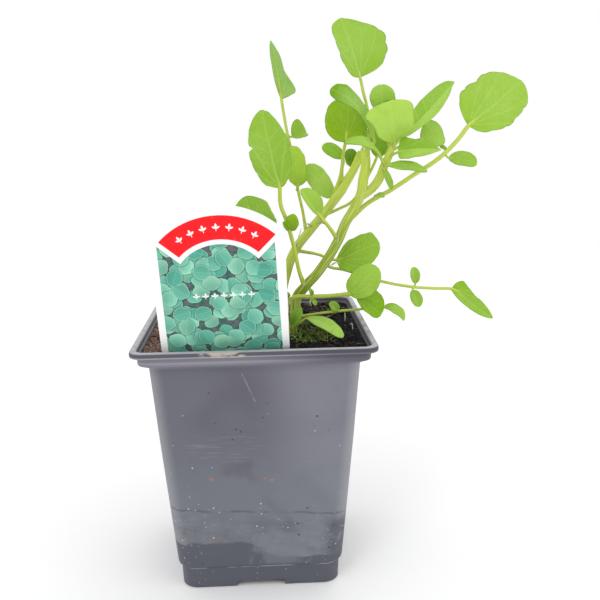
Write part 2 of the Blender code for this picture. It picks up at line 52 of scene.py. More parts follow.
# Studio: the floor, and each light's name, place and size in metres and power in watts
FLOOR_HALF = 800.0
FLOOR_DROP = 0.2
LIT_MIDDLE = (0.02, 0.0, 0.11)
LIGHTS = (
    ("key", (-0.5, -0.9, 0.95), 0.5, 2.75),
    ("fill", (0.9, -0.5, 0.5), 0.9, 1.3),
    ("back", (0.3, 0.8, 0.7), 0.8, 1.3),
)

# Pot: half its width at each level, and the radius of its upright corners there
RIM_TOP = 101.0
RIM_HALF = 45.0
RIM_INNER_HALF = 42.7
LIP_BOTTOM = 98.6
COLLAR_HALF = 42.6
COLLAR_BOTTOM = 95.2
BODY_TOP = 93.3
BODY_TOP_HALF = 39.3
STEP_HEIGHT = 9.6
BODY_BOTTOM_HALF = 32.8
FOOT_TOP_HALF = 31.6
FOOT_HALF = 31.3
WALL = 1.0
FLOOR_UNDERSIDE = 3.0
FLOOR_TOP = 4.2
RIM_CORNER = 5.0
BODY_CORNER = 7.0
FOOT_CORNER = 6.5
CORNER_SEGMENTS = 8
NOTCH_WIDTH = 19.0
NOTCH_HEIGHT = 2.3
DRAIN_HOLE_RADIUS = 4.0
DRAIN_HOLE_REACH = 19.0
PAD_RADIUS = 7.0
RUST_SPOTS = ((-17.6, 48.3, 1.1), (2.5, 47.9, 1.0), (5.2, 47.0, 1.2))

# Compost
COMPOST_TOP = 98.6
COMPOST_LUMP = 0.9
COMPOST_LUMP_SIZE = 8.0
COMPOST_CELLS = 110
CRUMBS = 1500
GRIT_SHARE = 0.05
GRIT_SIZE = 0.6
FIBRES = 150
COMPOST_MOUND = 0.9
MOUND_START = 16.0
MOUND_END = 38.0
GAP = 0.3

# Moss: the middle of each patch, its reach and its number of threads
MOSS = ((20.5, -22.0, 7.5, 200), (21.0, -10.0, 6.0, 100), (19.0, 2.0, 5.0, 40), (27.0, -25.0, 4.0, 30),
        (-29.0, -18.0, 4.0, 15), (33.0, 20.0, 4.0, 20), (5.0, 24.0, 6.0, 30))

# Label: a plate with an arched head and a stake, leaning forward and turned a little in its own plane
LABEL_WIDTH = 46.2
LABEL_THICKNESS = 0.8
LABEL_MIDDLE = -10.4
LABEL_FRONT_AT_RIM = -39.0
LABEL_LEAN = math.radians(16.0)
LABEL_TURN = math.radians(1.8)
LABEL_SHOULDER = 44.2
LABEL_ARCH_RADIUS = 30.6
LABEL_ARCH_STEPS = 48
LABEL_FOOT = -4.0
STAKE_TOP = -7.0
STAKE_WIDTH = 13.0
STAKE_POINT = -52.0
STAKE_TAPER = 12.0
BAND_MIDDLE = (0.7, 23.6)
BAND_INNER = 18.7
BAND_OUTER = 27.45
BAND_BORDER = 1.7
BAND_SPREAD = math.radians(45.5)
BAND_TURN = math.radians(1.3)
SIGN_ARC = 23.2
SIGN_ROW = (1.0, 21.0)
PRINT_LAYERS = ((0.17, 0.42), (0.15, 0.41), (0.13, 0.37))

# Leaves
BLADE = 0.34
FULLNESS = 0.92
MARGIN_WAVE = 0.035
FRILL = 0.45
VEIN_GROOVE = 0.13
GROOVE_WIDTH = 0.5
MIDRIB_SHARES = (0.16, 0.45, 0.8)
TOOTH_SPACING = 3.4
NOTCH_LEAD = 0.35
FULL_FRILL_LENGTH = 12.0
TUBE_SIDES = 12
TUBE_RIDGES = 5
RIDGE = 0.03
STALK_PALE = (0.7, 1.0)


class Leaf(NamedTuple):
    """A leaf stalk, and the blade that starts where the stalk ends.

    left and right give half the blade's width: one number, or those for its base, middle and tip.
    bend moves its middle sideways. A notch is its side, how far along it is, its depth and its reach.
    shade is how pale the green is, partly the leaf's own tone and partly painted light and shade for how lit
    the leaf stands in the clump; deeper is how much darker it is at the tip, and glow how yellow the light
    that shines through makes it.
    """

    stalk: tuple
    tip: tuple
    face: tuple = (0.0, -0.9, 0.3)
    left: float | tuple = 3.0
    right: float | tuple = 3.0
    fold: float = 0.12
    arch: float = 1.0
    bend: float = 0.0
    lobe: float = 0.0
    teeth: float = 0.02
    notch: tuple = ()
    radius: float = 0.55
    shade: float | tuple = 0.6
    deeper: float = 0.0
    glow: float = 0.2
    underside: bool = False


class Stem(NamedTuple):
    """A stem's route from its root upwards, its radius at each place, and how pale it is at each end."""

    route: tuple
    radii: tuple
    pale: tuple


MAIN_STEM = Stem(
    ((15, -13, 76), (15, -12, 100.5), (16, -10, 105), (17, -8, 112), (20, -8, 116), (26, -6, 122),
     (34, -4, 134), (37, -4, 141), (40, -4, 146), (43, -4, 152), (44, -4, 158), (45, -3, 163), (45, -2, 169)),
    (1.9, 2.1, 2.1, 2.0, 1.9, 1.9, 1.9, 1.9, 1.9, 2.0, 1.9, 1.8, 1.1), (-0.1, 0.95),
)
MAIN_FORK = Stem(
    ((43, -4, 151), (47, -4, 154), (50, -5, 158), (52, -5, 163), (54, -6, 168), (55, -6, 172)),
    (1.5, 1.7, 1.8, 1.7, 1.5, 1.0), (0.7, 0.8),
)
MAIN_LEAVES = (
    Leaf(((15, -13, 100), (15, -15, 102)), (18, -17, 110), face=(-0.3, -0.9, 0.1), left=2.2, right=2.2,
         fold=0.4, shade=0.2),
    Leaf(((15, -12, 100), (17, -14, 102.5), (21, -14, 105)), (33.4, -26.5, 100), face=(0.1, -0.5, 0.85),
         left=3.2, right=3.0, arch=1.6, radius=0.45, shade=0.75, glow=0.0),
    Leaf(((16, -9, 104), (24, -10, 105.5), (34, -8, 106), (45, -5, 106), (52.5, -4, 106.3)),
         (60.5, -6, 100.8), face=(0.2, -0.6, 0.8), left=(3.4, 3.0, 2.8), right=(2.2, 2.0, 1.0), arch=1.5,
         fold=0.5, shade=0.6),
    Leaf(((33, -8.5, 106), (33.5, -9, 106.5)), (30, -9, 110), left=1.8, right=1.8, radius=0.4, shade=0.5),
    Leaf(((20, -8, 117), (18, -10, 123), (16, -11, 133), (13, -13, 144), (11, -14, 150), (10.8, -14, 156.1)),
         (4.8, -17, 184.6), face=(-0.15, -0.95, 0.25), left=(8.8, 8.1, 6.0), right=(6.5, 7.3, 4.6), arch=1.5,
         teeth=0.03, notch=(-1, 0.56, 2.0, 0.07), radius=0.8, shade=0.4),
    Leaf(((15, -12, 138), (14.5, -12.5, 139.5)), (16, -15, 146), left=2.7, right=2.7, teeth=0.07,
         radius=0.4, shade=0.25, glow=0.9),
    Leaf(((15, -12, 138), (14, -12.5, 139.5)), (12, -13, 143), left=1.1, right=1.1, radius=0.4, shade=0.2),
    Leaf(((29, -6, 125), (32, 2, 122), (38, 7, 120), (45, 10, 117), (54, 11, 114), (68, 12, 111),
          (77, 13, 110), (86.6, 13, 108.8)), (102, 10, 97), face=(0.1, -0.95, 0.3), left=(11.0, 3.5, 1.3),
         right=(3.0, 2.7, 1.6), lobe=0.12, bend=1.0, arch=2.0, radius=0.65, shade=0.3),
    Leaf(((68, 12, 111), (68.7, 12.5, 112.4)), (68.0, 14, 119.3), left=1.9, right=2.3, radius=0.4, shade=0.5),
    Leaf(((68, 12, 111), (67.3, 11.5, 109.7)), (69.9, 9, 103), left=2.6, right=2.5, radius=0.4, shade=0.45),
    Leaf(((34, -4, 134), (30, -8, 140), (26, -9, 145)), (19, -12, 155), face=(0.1, -0.95, 0.2), left=1.8,
         right=4.3, fold=0.2, radius=0.7, shade=0.75, glow=0.4),
    Leaf(((37, -4, 141), (40, -2, 143), (46, 0, 148), (56, 3, 153), (66, 5, 159), (76, 7, 165), (84, 9, 172),
          (89.5, 10, 178.6)), (111.3, 14, 195.3), face=(0.1, -0.95, 0.25), left=(20.0, 12.6, 6.8),
         right=(10.0, 10.4, 11.4), lobe=0.03, teeth=0.05, arch=1.5, radius=0.9, shade=0.6, glow=0.25),
    Leaf(((79, 8, 167), (80.3, 6.5, 165.2)), (91.2, 4, 163.2), face=(0.1, -0.9, 0.4), left=(3.5, 3.6, 3.6),
         right=(2.5, 3.0, 3.6), radius=0.4, shade=0.4),
    Leaf(((78, 8, 167), (79.9, 8.5, 168.4)), (77.3, 10, 169.8), left=0.8, right=0.8, radius=0.4),
    Leaf(((49, 0.9, 149.5), (49, -3, 151.5)), (52, -6, 151), face=(0.0, -0.5, 0.8), left=1.3, right=1.3,
         radius=0.4),
    Leaf(((51, -5, 161), (51.5, -8, 162)), (54.3, -10, 154.5), left=1.3, right=1.3, radius=0.4, shade=0.3),
    Leaf(((52, -5, 163), (53, -8, 163.6)), (66.8, -15, 161.2), face=(0.0, -0.7, 0.7), left=(2.2, 2.5, 2.2),
         right=(2.2, 2.5, 2.0), radius=0.45, shade=0.45),
    Leaf(((53, -6, 166), (56.7, -9, 168.4)), (72.2, -14, 169.1), face=(0.0, -0.85, 0.5),
         left=(11.0, 4.0, 1.0), right=(6.5, 3.5, 1.0), arch=1.5, radius=0.5, shade=(0.2, 0.8)),
    Leaf(((51, -5, 160), (51.8, -6, 162.7)), (34.9, -21, 172.5), face=(0.1, -0.8, 0.6), left=(1.4, 2.0, 2.8),
         right=(1.5, 2.1, 2.8), bend=3.2, arch=3.0, radius=0.6, shade=0.7, deeper=0.6, glow=0.7,
         underside=True),
    Leaf(((55, -5, 169), (61, 1, 171), (68.6, 6, 173)), (79.1, 11, 174), left=(6.5, 6.6, 6.5),
         right=(3.0, 4.6, 5.0), radius=0.5, shade=0.6),
    Leaf(((54, -6, 169), (57, -3, 171.5), (60.2, 0, 173.9)), (82.9, 12, 195.3), face=(-0.4, -0.8, 0.4),
         left=(4.0, 5.0, 5.0), right=(3.0, 4.4, 0.8), fold=0.35, arch=-1.0, radius=0.6, shade=(0.4, 1.0)),
    Leaf(((55, -6, 169.5), (55.4, -7.5, 171.4)), (51.8, -15, 187.4), left=(0.5, 7.4, 21.5),
         right=(1.0, 7.8, 15.5), arch=2.5, teeth=0.03, radius=0.7, shade=1.0, glow=0.35),
    Leaf(((54, -6, 170), (52, -5, 178), (50.8, -6.5, 183.5)), (50.1, -8, 193.6), left=(4.0, 4.8, 5.5),
         right=(4.4, 5.0, 5.2), radius=0.5, shade=0.6),
    Leaf(((45, -3, 165), (46, -4, 169), (48.1, -4.5, 172.3)), (30.4, -15, 191.9), face=(0.25, -0.85, 0.45),
         left=(1.8, 2.0, 7.5), right=(1.8, 2.8, 9.2), bend=2.2, arch=3.0, radius=0.6, shade=0.8,
         deeper=2.0, glow=0.3, underside=True),
    Leaf(((45, -2, 167), (47, 1, 179), (46, 3, 187), (45, 4, 191), (43.6, 4, 197.2)), (36.4, 6, 219.4),
         face=(0.0, -0.95, 0.2), left=(5.9, 5.2, 9.4), right=(18.0, 13.6, 3.0), arch=1.5, teeth=0.05,
         radius=0.6, shade=0.5, glow=0.1),
)

SECOND_STEM = Stem(
    ((6, -1, 76), (7, -1, 100.5), (8.5, 2, 105), (11, 5, 110), (13, 7, 117), (17, 8, 128), (24, 9, 137),
     (30, 9, 144), (33, 8, 148), (37, 8, 154), (41, 8, 160), (45, 9, 168)),
    (1.9, 2.0, 2.0, 1.9, 1.9, 1.8, 1.8, 1.8, 2.3, 1.7, 1.7, 1.0), (0.5, 0.95),
)
SECOND_LEAVES = (
    Leaf(((18, 8, 128.5), (26, 7, 127), (34.8, 3.5, 124.9)), (51.2, 1, 131.9), left=(1.5, 5.8, 9.8),
         right=(9.0, 7.6, 6.5), lobe=0.06, teeth=0.03, radius=0.6, shade=0.35, glow=0.35),
    Leaf(((22, 9, 135), (21, 10, 143), (19, 11, 153), (17, 12, 167), (15, 12, 176), (14, 13, 182),
          (12.9, 13, 189.5)), (9.2, 15, 212.1), face=(0.2, -0.95, 0.1), left=(1.2, 1.9, 1.5),
         right=(13.0, 2.8, 1.0), fold=0.3, radius=0.6, shade=0.0, glow=0.0, underside=True),
    Leaf(((18.5, 11, 153), (19, 10, 154.8)), (17.2, 10, 170.9), left=4.2, right=(6.0, 4.3, 4.5),
         radius=0.45, shade=0.9, glow=0.7),
    Leaf(((15, 12, 175), (17, 13, 174.5)), (23, 15, 176), face=(0.0, -0.8, 0.6), left=5.0, right=4.0,
         fold=0.6, radius=0.4, shade=0.4),
    Leaf(((30, 9, 143), (36, 12, 145), (42, 14, 148), (46, 15, 154), (50, 15, 161), (52, 14, 166)),
         (55, 12, 178), left=4.0, right=4.0, radius=0.6, shade=0.0),
    Leaf(((33, 8, 148.5), (33, 11, 150)), (23, 16, 163), face=(-0.2, -0.9, 0.3), left=4.3, right=4.3,
         radius=0.5, shade=1.0),
    Leaf(((37, 8, 154), (37.5, 13, 161), (38, 15, 165.6)), (30.2, 20, 170.9), face=(-0.2, -0.8, 0.5),
         left=2.9, right=2.9, radius=0.5, shade=0.15, glow=0.6),
    Leaf(((41, 8, 158), (41.4, 11.5, 162)), (40.8, 14, 169.3), left=2.8, right=2.8, radius=0.45, shade=-0.3),
    Leaf(((33, 8, 150), (36, 6, 159), (37, 4, 168), (37.9, 1, 174.6)), (38.8, -0.5, 190.2),
         face=(-0.1, -0.95, 0.25), left=(11.0, 8.8, 7.0), right=(9.0, 8.5, 6.0), lobe=0.15, teeth=0.03,
         radius=0.65, shade=0.3, glow=1.0),
    Leaf(((44, 9, 166), (47, 14, 171)), (56, 22, 178), face=(0.3, -0.3, 0.9), left=4.0, right=4.0,
         radius=0.5, shade=0.0, glow=1.0),
)

SIDE_SHOOT = Stem(
    ((9, -12, 76), (9, -13, 100), (11, -15, 108), (14.5, -15, 113), (23, -15, 113.7), (30.5, -14, 113.7),
     (38, -12, 114)),
    (0.9, 0.9, 0.9, 0.9, 0.8, 0.8, 0.6), (0.6, 0.6),
)
SIDE_LEAVES = (
    Leaf(((14, -15, 113), (13.4, -15.8, 114)), (12.6, -16.5, 116.3), left=0.9, right=0.9, radius=0.35,
         shade=0.3),
    Leaf(((23, -15, 113.7), (22.6, -15.8, 114.6)), (21.6, -16.5, 117.4), left=0.8, right=0.9, radius=0.35,
         shade=0.2),
    Leaf(((23, -15, 113.7), (23, -15.5, 112.5)), (24, -16, 110.5), left=0.9, right=0.9, radius=0.35),
    Leaf(((36, -12.8, 113.8), (37.8, -12, 113.3)), (48.3, -13, 124.5), left=(5.4, 5.5, 5.9),
         right=(5.6, 6.2, 6.2), teeth=0.03, radius=0.5, shade=0.55, glow=0.35),
    Leaf(((37, -12.3, 114), (40.4, -10.5, 112.7)), (50.8, -9, 104.4), face=(0.1, -0.9, 0.3),
         left=(4.0, 6.3, 6.0), right=(1.5, 3.3, 4.8), radius=0.45, shade=0.0, glow=0.9),
)

BACK_STEM = Stem(
    ((3, -7, 76), (3, -8, 100), (4, -13, 107), (5, -18, 122), (4, -21, 134)),
    (1.0, 1.0, 0.9, 0.9, 0.8), (0.5, 0.5),
)
BACK_LEAVES = (
    Leaf(((4.6, -20, 130), (4, -22, 137)), (-2, -28, 154), face=(-0.2, -0.85, 0.4), left=7.4, right=7.6,
         teeth=0.03, radius=0.7, shade=0.35),
)

# Thin pale roots and buds that break from the stems, each from where it starts to where it ends
MAIN_ROOTLETS = (
    ((32.6, -4.5, 131.5), (33.6, -6.0, 134.0), (34.0, -6.0, 136.6)),
    ((19.4, -9.5, 116.2), (19.8, -10.5, 118.0), (20.4, -10.5, 119.8)),
    ((31.2, -6.0, 124.6), (33.0, -7.0, 125.6), (34.5, -7.0, 125.2)),
    ((16.5, -11.5, 104.5), (13.5, -12.5, 100.5), (11.0, -13.0, 98.2)),
)
SECOND_ROOTLETS = (
    ((24.5, 8.0, 138.0), (22.4, 6.5, 139.6), (20.6, 6.0, 139.0)),
    ((26.0, 7.8, 140.0), (29.5, 6.5, 139.6), (32.8, 6.0, 137.2)),
    ((17.0, 7.0, 126.5), (17.8, 5.0, 131.5), (19.8, 5.0, 138.0)),
)
SIDE_ROOTLETS = (
    ((14.0, -15.5, 112.5), (13.2, -16.2, 110.0), (13.6, -16.2, 107.5)),
    ((22.4, -15.4, 113.2), (21.8, -16.0, 111.6), (22.2, -16.0, 110.2)),
)


def paired(operation):
    """An operator's method, and its reflected form."""

    def method(self, other):
        return self.maths(operation, self, other)

    def reflected(self, other):
        return self.maths(operation, other, self)

    return method, reflected


class Signal:
    """A value in a material. Sums on it add Math nodes."""

    __add__, __radd__ = paired("ADD")
    __sub__, __rsub__ = paired("SUBTRACT")
    __mul__, __rmul__ = paired("MULTIPLY")
    __truediv__, __rtruediv__ = paired("DIVIDE")
    __pow__, __rpow__ = paired("POWER")

    def __init__(self, finish, socket):
        self.finish = finish
        self.socket = socket

    def maths(self, operation, *values):
        return self.finish.node("Math", {"operation": operation}, dict(enumerate(values)))

    def __abs__(self):
        return self.maths("ABSOLUTE", self)

    def other(self, output):
        """Another output of the node that this value comes from."""
        return Signal(self.finish, self.socket.node.outputs[output])

    def larger(self, other):
        return self.maths("MAXIMUM", self, other)

    def smaller(self, other):
        return self.maths("MINIMUM", self, other)

    def step(self, low, high, to_low=0.0, to_high=1.0):
        """A smooth change from to_low to to_high as this value goes from low to high."""
        values = {"Value": self, "From Min": low, "From Max": high, "To Min": to_low, "To Max": to_high}
        return self.finish.node("MapRange", {"interpolation_type": "SMOOTHSTEP"}, values)

    def fade(self, low, high, start=1.0):
        """A smooth fall from start to 0 as this value goes from low to high."""
        return self.step(low, high, start, 0.0)

    def band(self, middle, width, soft):
        """1 within width of the middle, and 0 beyond that by more than soft."""
        return abs(self - middle).fade(width, width + soft)


class Finish:
    """A material, whose nodes feed one Principled shader."""

    def __init__(self, name, **constants):
        self.made = bpy.data.materials.new(name)
        self.made.use_nodes = True
        self.tree = self.made.node_tree
        self.shader = self.tree.nodes["Principled BSDF"]
        self.feed(**constants)
        self.place = self.node("TexCoord", output="Object")

    def node(self, kind, settings=None, values=None, output=0):
        """A node of this type, its settings made first, then its sockets set or linked."""
        made = self.tree.nodes.new("ShaderNode" + kind)
        for name, value in (settings or {}).items():
            setattr(made, name, value)
        for name, value in (values or {}).items():
            self.join(value, made.inputs[name])
        return Signal(self, made.outputs[output])

    def join(self, value, socket):
        if isinstance(value, Signal):
            self.tree.links.new(value.socket, socket)
        else:
            socket.default_value = value

    def feed(self, **values):
        for name, value in values.items():
            self.join(value, self.shader.inputs[name.replace("_", " ")])

    def attribute(self, name, output="Fac"):
        return self.node("Attribute", {"attribute_name": name}, output=output)

    def parts(self, vector):
        split = self.node("SeparateXYZ", {}, {0: vector})
        return [split.other(number) for number in range(3)]

    def vector(self, x, y, z=0.0):
        return self.node("CombineXYZ", {}, {0: x, 1: y, 2: z})

    def vector_maths(self, operation, values, output=0):
        return self.node("VectorMath", {"operation": operation}, values, output)

    def stretched(self, x, y, z):
        """The place, scaled along each axis, for streaks."""
        return self.vector_maths("MULTIPLY", {0: self.place, 1: (x, y, z)})

    def noise(self, scale, detail=3.0, place=None, roughness=0.5):
        values = {"Vector": place or self.place, "Scale": scale, "Detail": detail, "Roughness": roughness}
        return self.node("TexNoise", {}, values)

    def cells(self, scale, place=None, feature="F1"):
        values = {"Vector": place or self.place, "Scale": scale}
        return self.node("TexVoronoi", {"feature": feature}, values, "Distance")

    def mix(self, factor, first, second, blend="MIX"):
        colours = [value if isinstance(value, Signal) else (*value, 1.0) for value in (first, second)]
        settings = {"data_type": "RGBA", "blend_type": blend}
        return self.node("Mix", settings, {0: factor, 6: colours[0], 7: colours[1]}, output=2)

    def coats(self, colour, *layers):
        """A colour with others laid over it, each with how much of it shows."""
        for amount, layer in layers:
            colour = self.mix(amount, colour, layer)
        return colour

    def bump(self, height, distance):
        self.feed(Normal=self.node("Bump", {}, {"Height": height, "Distance": distance * MM}))


def move(bm, *place):
    bmesh.ops.translate(bm, vec=Vector(place), verts=bm.verts)


def stretch(bm, *shares):
    bmesh.ops.scale(bm, vec=Vector(shares), verts=bm.verts)


def add_object(name, bm):
    """An object in metres, made from a finished shape in millimetres."""
    stretch(bm, MM, MM, MM)
    mesh = bpy.data.meshes.new(name)
    bm.to_mesh(mesh)
    bm.free()
    made = bpy.data.objects.new(name, mesh)
    bpy.context.scene.collection.objects.link(made)
    return made


def add_piece(name, bm, finishes, node):
    """A finished piece, riding on the pot's body in place of its node."""
    piece = add_object(name, bm)
    piece.data.shade_smooth()
    for finish in finishes:
        piece.data.materials.append(finish.made)
    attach(piece, "root")
    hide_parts(node)
    return piece


def leaf_veins(finish):
    """How strongly a vein shows at a place of a blade, and how far along it the place is."""
    across, along, _ = finish.parts(finish.attribute("blade_place", "Vector"))
    wobble = (finish.noise(160.0, 2.0) - 0.5) * 0.035
    side = abs(across + wobble)
    veins = side.fade(0.0, 0.028) * along.step(0.0, 1.0, 1.0, 0.35)
    for spread, curve in ((0.42, 0.10), (0.95, 0.30)):
        path = side - spread * along + curve * along * along
        veins = veins.larger(abs(path).fade(0.0, 0.02) * along.fade(0.45, 0.8, 0.7))
    for start in (0.3, 0.46, 0.62):
        path = along - start - side * 0.75
        veins = veins.larger(abs(path).fade(0.0, 0.016, 0.55) * side.fade(0.18, 0.36))
    net = finish.cells(620.0, feature="DISTANCE_TO_EDGE").fade(0.0, 0.09, 0.28)
    return veins.larger(net), along


def leaf_tone(finish, green, pale, deep):
    """A blade's green, its own tone with painted light and shade: paler where its shade is high, and deeper
    where it is below 0.
    """
    shade = finish.attribute("shade")
    return finish.coats(green, (shade.larger(0.0), pale), (shade.smaller(0.0) * -1.0, deep))


def leaf_top_finish():
    finish = Finish("leaf_top", Subsurface_Weight=0.10, Subsurface_Scale=0.0012, Specular_IOR_Level=0.14)
    veins, along = leaf_veins(finish)
    green = finish.coats(
        leaf_tone(finish, (0.17, 0.37, 0.003), (0.39, 0.615, 0.115), (0.02, 0.10, 0.02)),
        (finish.noise(75.0, 2.0).step(0.35, 0.68) * 0.25, (0.34, 0.58, 0.12)),
        (finish.noise(260.0, 3.0).step(0.45, 0.75) * 0.22, (0.19, 0.42, 0.035)),
        (along.fade(0.0, 0.45, 0.4), (0.27, 0.50, 0.015)),
    )
    green = finish.coats(
        finish.mix(finish.attribute("glow"), green, (1.04, 1.0, 0.30), "MULTIPLY"),
        (veins * 0.48, (0.49, 0.69, 0.20)),
        (finish.attribute("margin").step(0.93, 1.0) * 0.3, (0.15, 0.31, 0.06)),
        (finish.cells(330.0).fade(0.05, 0.1, 0.22), (0.12, 0.28, 0.02)),
    )
    finish.feed(Base_Color=green, Roughness=0.42 + 0.16 * finish.noise(900.0, 2.0) + 0.06 * veins)
    finish.bump(0.25 * finish.cells(1900.0) - 0.9 * veins + 0.6 * finish.noise(420.0), 0.16)
    return finish


def leaf_under_finish():
    finish = Finish("leaf_under", Subsurface_Weight=0.10, Subsurface_Scale=0.0012, Specular_IOR_Level=0.14)
    veins, along = leaf_veins(finish)
    green = finish.coats(
        leaf_tone(finish, (0.25, 0.45, 0.10), (0.42, 0.66, 0.17), (0.15, 0.33, 0.0)),
        (finish.noise(90.0, 2.0).step(0.35, 0.7) * 0.35, (0.34, 0.58, 0.14)),
    )
    green = finish.coats(
        finish.mix(finish.attribute("glow"), green, (1.0, 1.0, 0.35), "MULTIPLY"),
        (veins * 0.4, (0.50, 0.70, 0.24)),
        (along.fade(0.0, 0.3, 0.3), (0.46, 0.62, 0.16)),
    )
    finish.feed(Base_Color=green, Roughness=0.55 + 0.2 * finish.noise(1200.0, 2.0))
    finish.bump(0.9 * veins + 0.3 * finish.cells(1700.0), 0.14)
    return finish


def stem_finish():
    """Olive stems that turn yellow and pale upwards, with faint lengthwise streaks: partly their own pale
    stripes and partly painted highlights along the ridges.
    """
    finish = Finish("stem", Subsurface_Weight=0.08, Subsurface_Scale=0.001, Specular_IOR_Level=0.12)
    side, front, length = finish.parts(finish.attribute("around", "Vector"))
    # the pale streaks are partly the stems' own stripes and partly painted highlights along their ridges
    streaks = finish.noise(1.6, 3.0, finish.vector(side * 2.2, front * 2.2, length * 0.06)).step(0.42, 0.66)
    fine = finish.noise(5.0, 2.0, finish.vector(side * 2.0, front * 2.0, length * 0.03)).step(0.45, 0.7)
    blush = finish.noise(1.0, 2.0, finish.vector(side, front, length * 0.05)).step(0.55, 0.75)
    green = finish.coats(
        (0.17, 0.25, 0.005),
        (finish.attribute("pale").step(0.12, 0.95), (0.56, 0.67, 0.09)),
        (streaks * 0.6, (0.62, 0.72, 0.26)),
        (fine * 0.4, (0.24, 0.34, 0.01)),
        (blush * 0.08, (0.42, 0.36, 0.10)),
    )
    finish.feed(Base_Color=green, Roughness=0.42 + 0.2 * finish.noise(700.0, 2.0))
    finish.bump(streaks + 0.4 * fine + 0.3 * finish.noise(1500.0), 0.06)
    return finish


def mottled_finish(name, tones, mottles, rough, grain):
    """Two tones in soft mottles, with a rough grain. Each tuple starts with a scale of noise."""
    finish = Finish(name)
    finish.feed(Base_Color=finish.mix(finish.noise(mottles[0]).step(*mottles[1:]), *tones),
                Roughness=rough[1] + rough[2] * finish.noise(rough[0]))
    finish.bump(finish.noise(grain[0]), grain[1])
    return finish


def root_finish():
    finish = Finish("rootlet", Subsurface_Weight=0.1, Subsurface_Scale=0.0005)
    brown = finish.noise(300.0, 3.0).step(0.4, 0.7)
    finish.feed(Base_Color=finish.mix(brown, (0.50, 0.56, 0.26), (0.22, 0.24, 0.07)),
                Roughness=0.5 + 0.2 * brown)
    finish.bump(finish.noise(2400.0), 0.05)
    return finish


def smooth_route(places, radii, steps, rooted):
    """Places along a smooth curve through the given ones, the same as the solid's, with their radii."""
    curve = bpy.data.curves.new("route", "CURVE")
    curve.dimensions = "3D"
    curve.resolution_u = steps
    spline = curve.splines.new("BEZIER")
    spline.bezier_points.add(len(places) - 1)
    for point, place in zip(spline.bezier_points, places):
        point.co = Vector(place)
        point.handle_left_type = "AUTO"
        point.handle_right_type = "AUTO"
    if rooted:
        spline.bezier_points[0].handle_right_type = "VECTOR"
        spline.bezier_points[1].handle_left_type = "VECTOR"
    shape = bpy.data.objects.new("route", curve)
    bpy.context.scene.collection.objects.link(shape)
    bpy.context.view_layer.update()
    evaluated = shape.evaluated_get(bpy.context.evaluated_depsgraph_get())
    line = [vert.co.copy() for vert in evaluated.to_mesh().vertices]
    bpy.data.objects.remove(shape)
    sizes = []
    for number in range(len(line)):
        first = min(number // steps, len(radii) - 2)
        share = number / steps - first
        sizes.append(radii[first] * (1.0 - share) + radii[first + 1] * share)
    return line, sizes


def gather(bm, small):
    """Adds a finished small shape to a larger one."""
    mesh = bpy.data.meshes.new("part")
    small.to_mesh(mesh)
    small.free()
    bm.from_mesh(mesh)
    bpy.data.meshes.remove(mesh)


def with_layers(**layers):
    """An empty shape whose points can hold these values."""
    bm = bmesh.new()
    for name, kind in layers.items():
        getattr(bm.verts.layers, kind).new(name)
    return bm


def shoot_shape():
    return with_layers(around="float_vector", pale="float")


def add_tube(bm, line, sizes, pale, sides=TUBE_SIDES, material=0):
    """A faintly ridged round shoot along a line, rolled from a grid and closed at both ends."""
    small = shoot_shape()
    around = small.verts.layers.float_vector["around"]
    paleness = small.verts.layers.float["pale"]
    last = len(line) - 1
    frames = []
    across = (line[1] - line[0]).orthogonal().normalized()
    length = 0.0
    for number, place in enumerate(line):
        ahead = (line[min(number + 1, last)] - line[max(number - 1, 0)]).normalized()
        across = (across - across.dot(ahead) * ahead).normalized()
        length += (place - line[max(number - 1, 0)]).length
        frames.append((place, across, ahead.cross(across), length))
    bmesh.ops.create_grid(small, x_segments=sides, y_segments=last, size=1.0)
    for vert in small.verts:
        turn = math.pi * (vert.co.x + 1.0)
        number = round((vert.co.y + 1.0) / 2.0 * last)
        place, across, upward, length = frames[number]
        size = sizes[number] * (1.0 + RIDGE * math.cos(TUBE_RIDGES * turn))
        vert.co = place + size * (math.cos(turn) * across + math.sin(turn) * upward)
        vert[around] = Vector((math.cos(turn), math.sin(turn), length))
        vert[paleness] = pale[0] + (pale[1] - pale[0]) * number / last
    bmesh.ops.remove_doubles(small, verts=small.verts, dist=0.1 * min(sizes))
    ends = [edge for edge in small.edges if edge.is_boundary]
    bmesh.ops.holes_fill(small, edges=ends, sides=0)
    bmesh.ops.recalc_face_normals(small, faces=small.faces)
    for face in small.faces:
        face.material_index = material
    gather(bm, small)


def add_shoot(bm, places, radii, pale, steps=6, sides=TUBE_SIDES, material=0, rooted=False):
    line, sizes = smooth_route(places, radii, steps, rooted)
    add_tube(bm, line, sizes, pale, sides, material)


def half_width(shape, turn):
    """Half a blade's width. turn runs from 0 at its base to pi at its tip."""
    base, middle, tip = shape if isinstance(shape, tuple) else (shape, shape, shape)
    end = base if turn < math.pi / 2 else tip
    share = math.cos(turn) ** 2
    return (middle * (1.0 - share) + end * share) * max(0.0, math.sin(turn)) ** FULLNESS


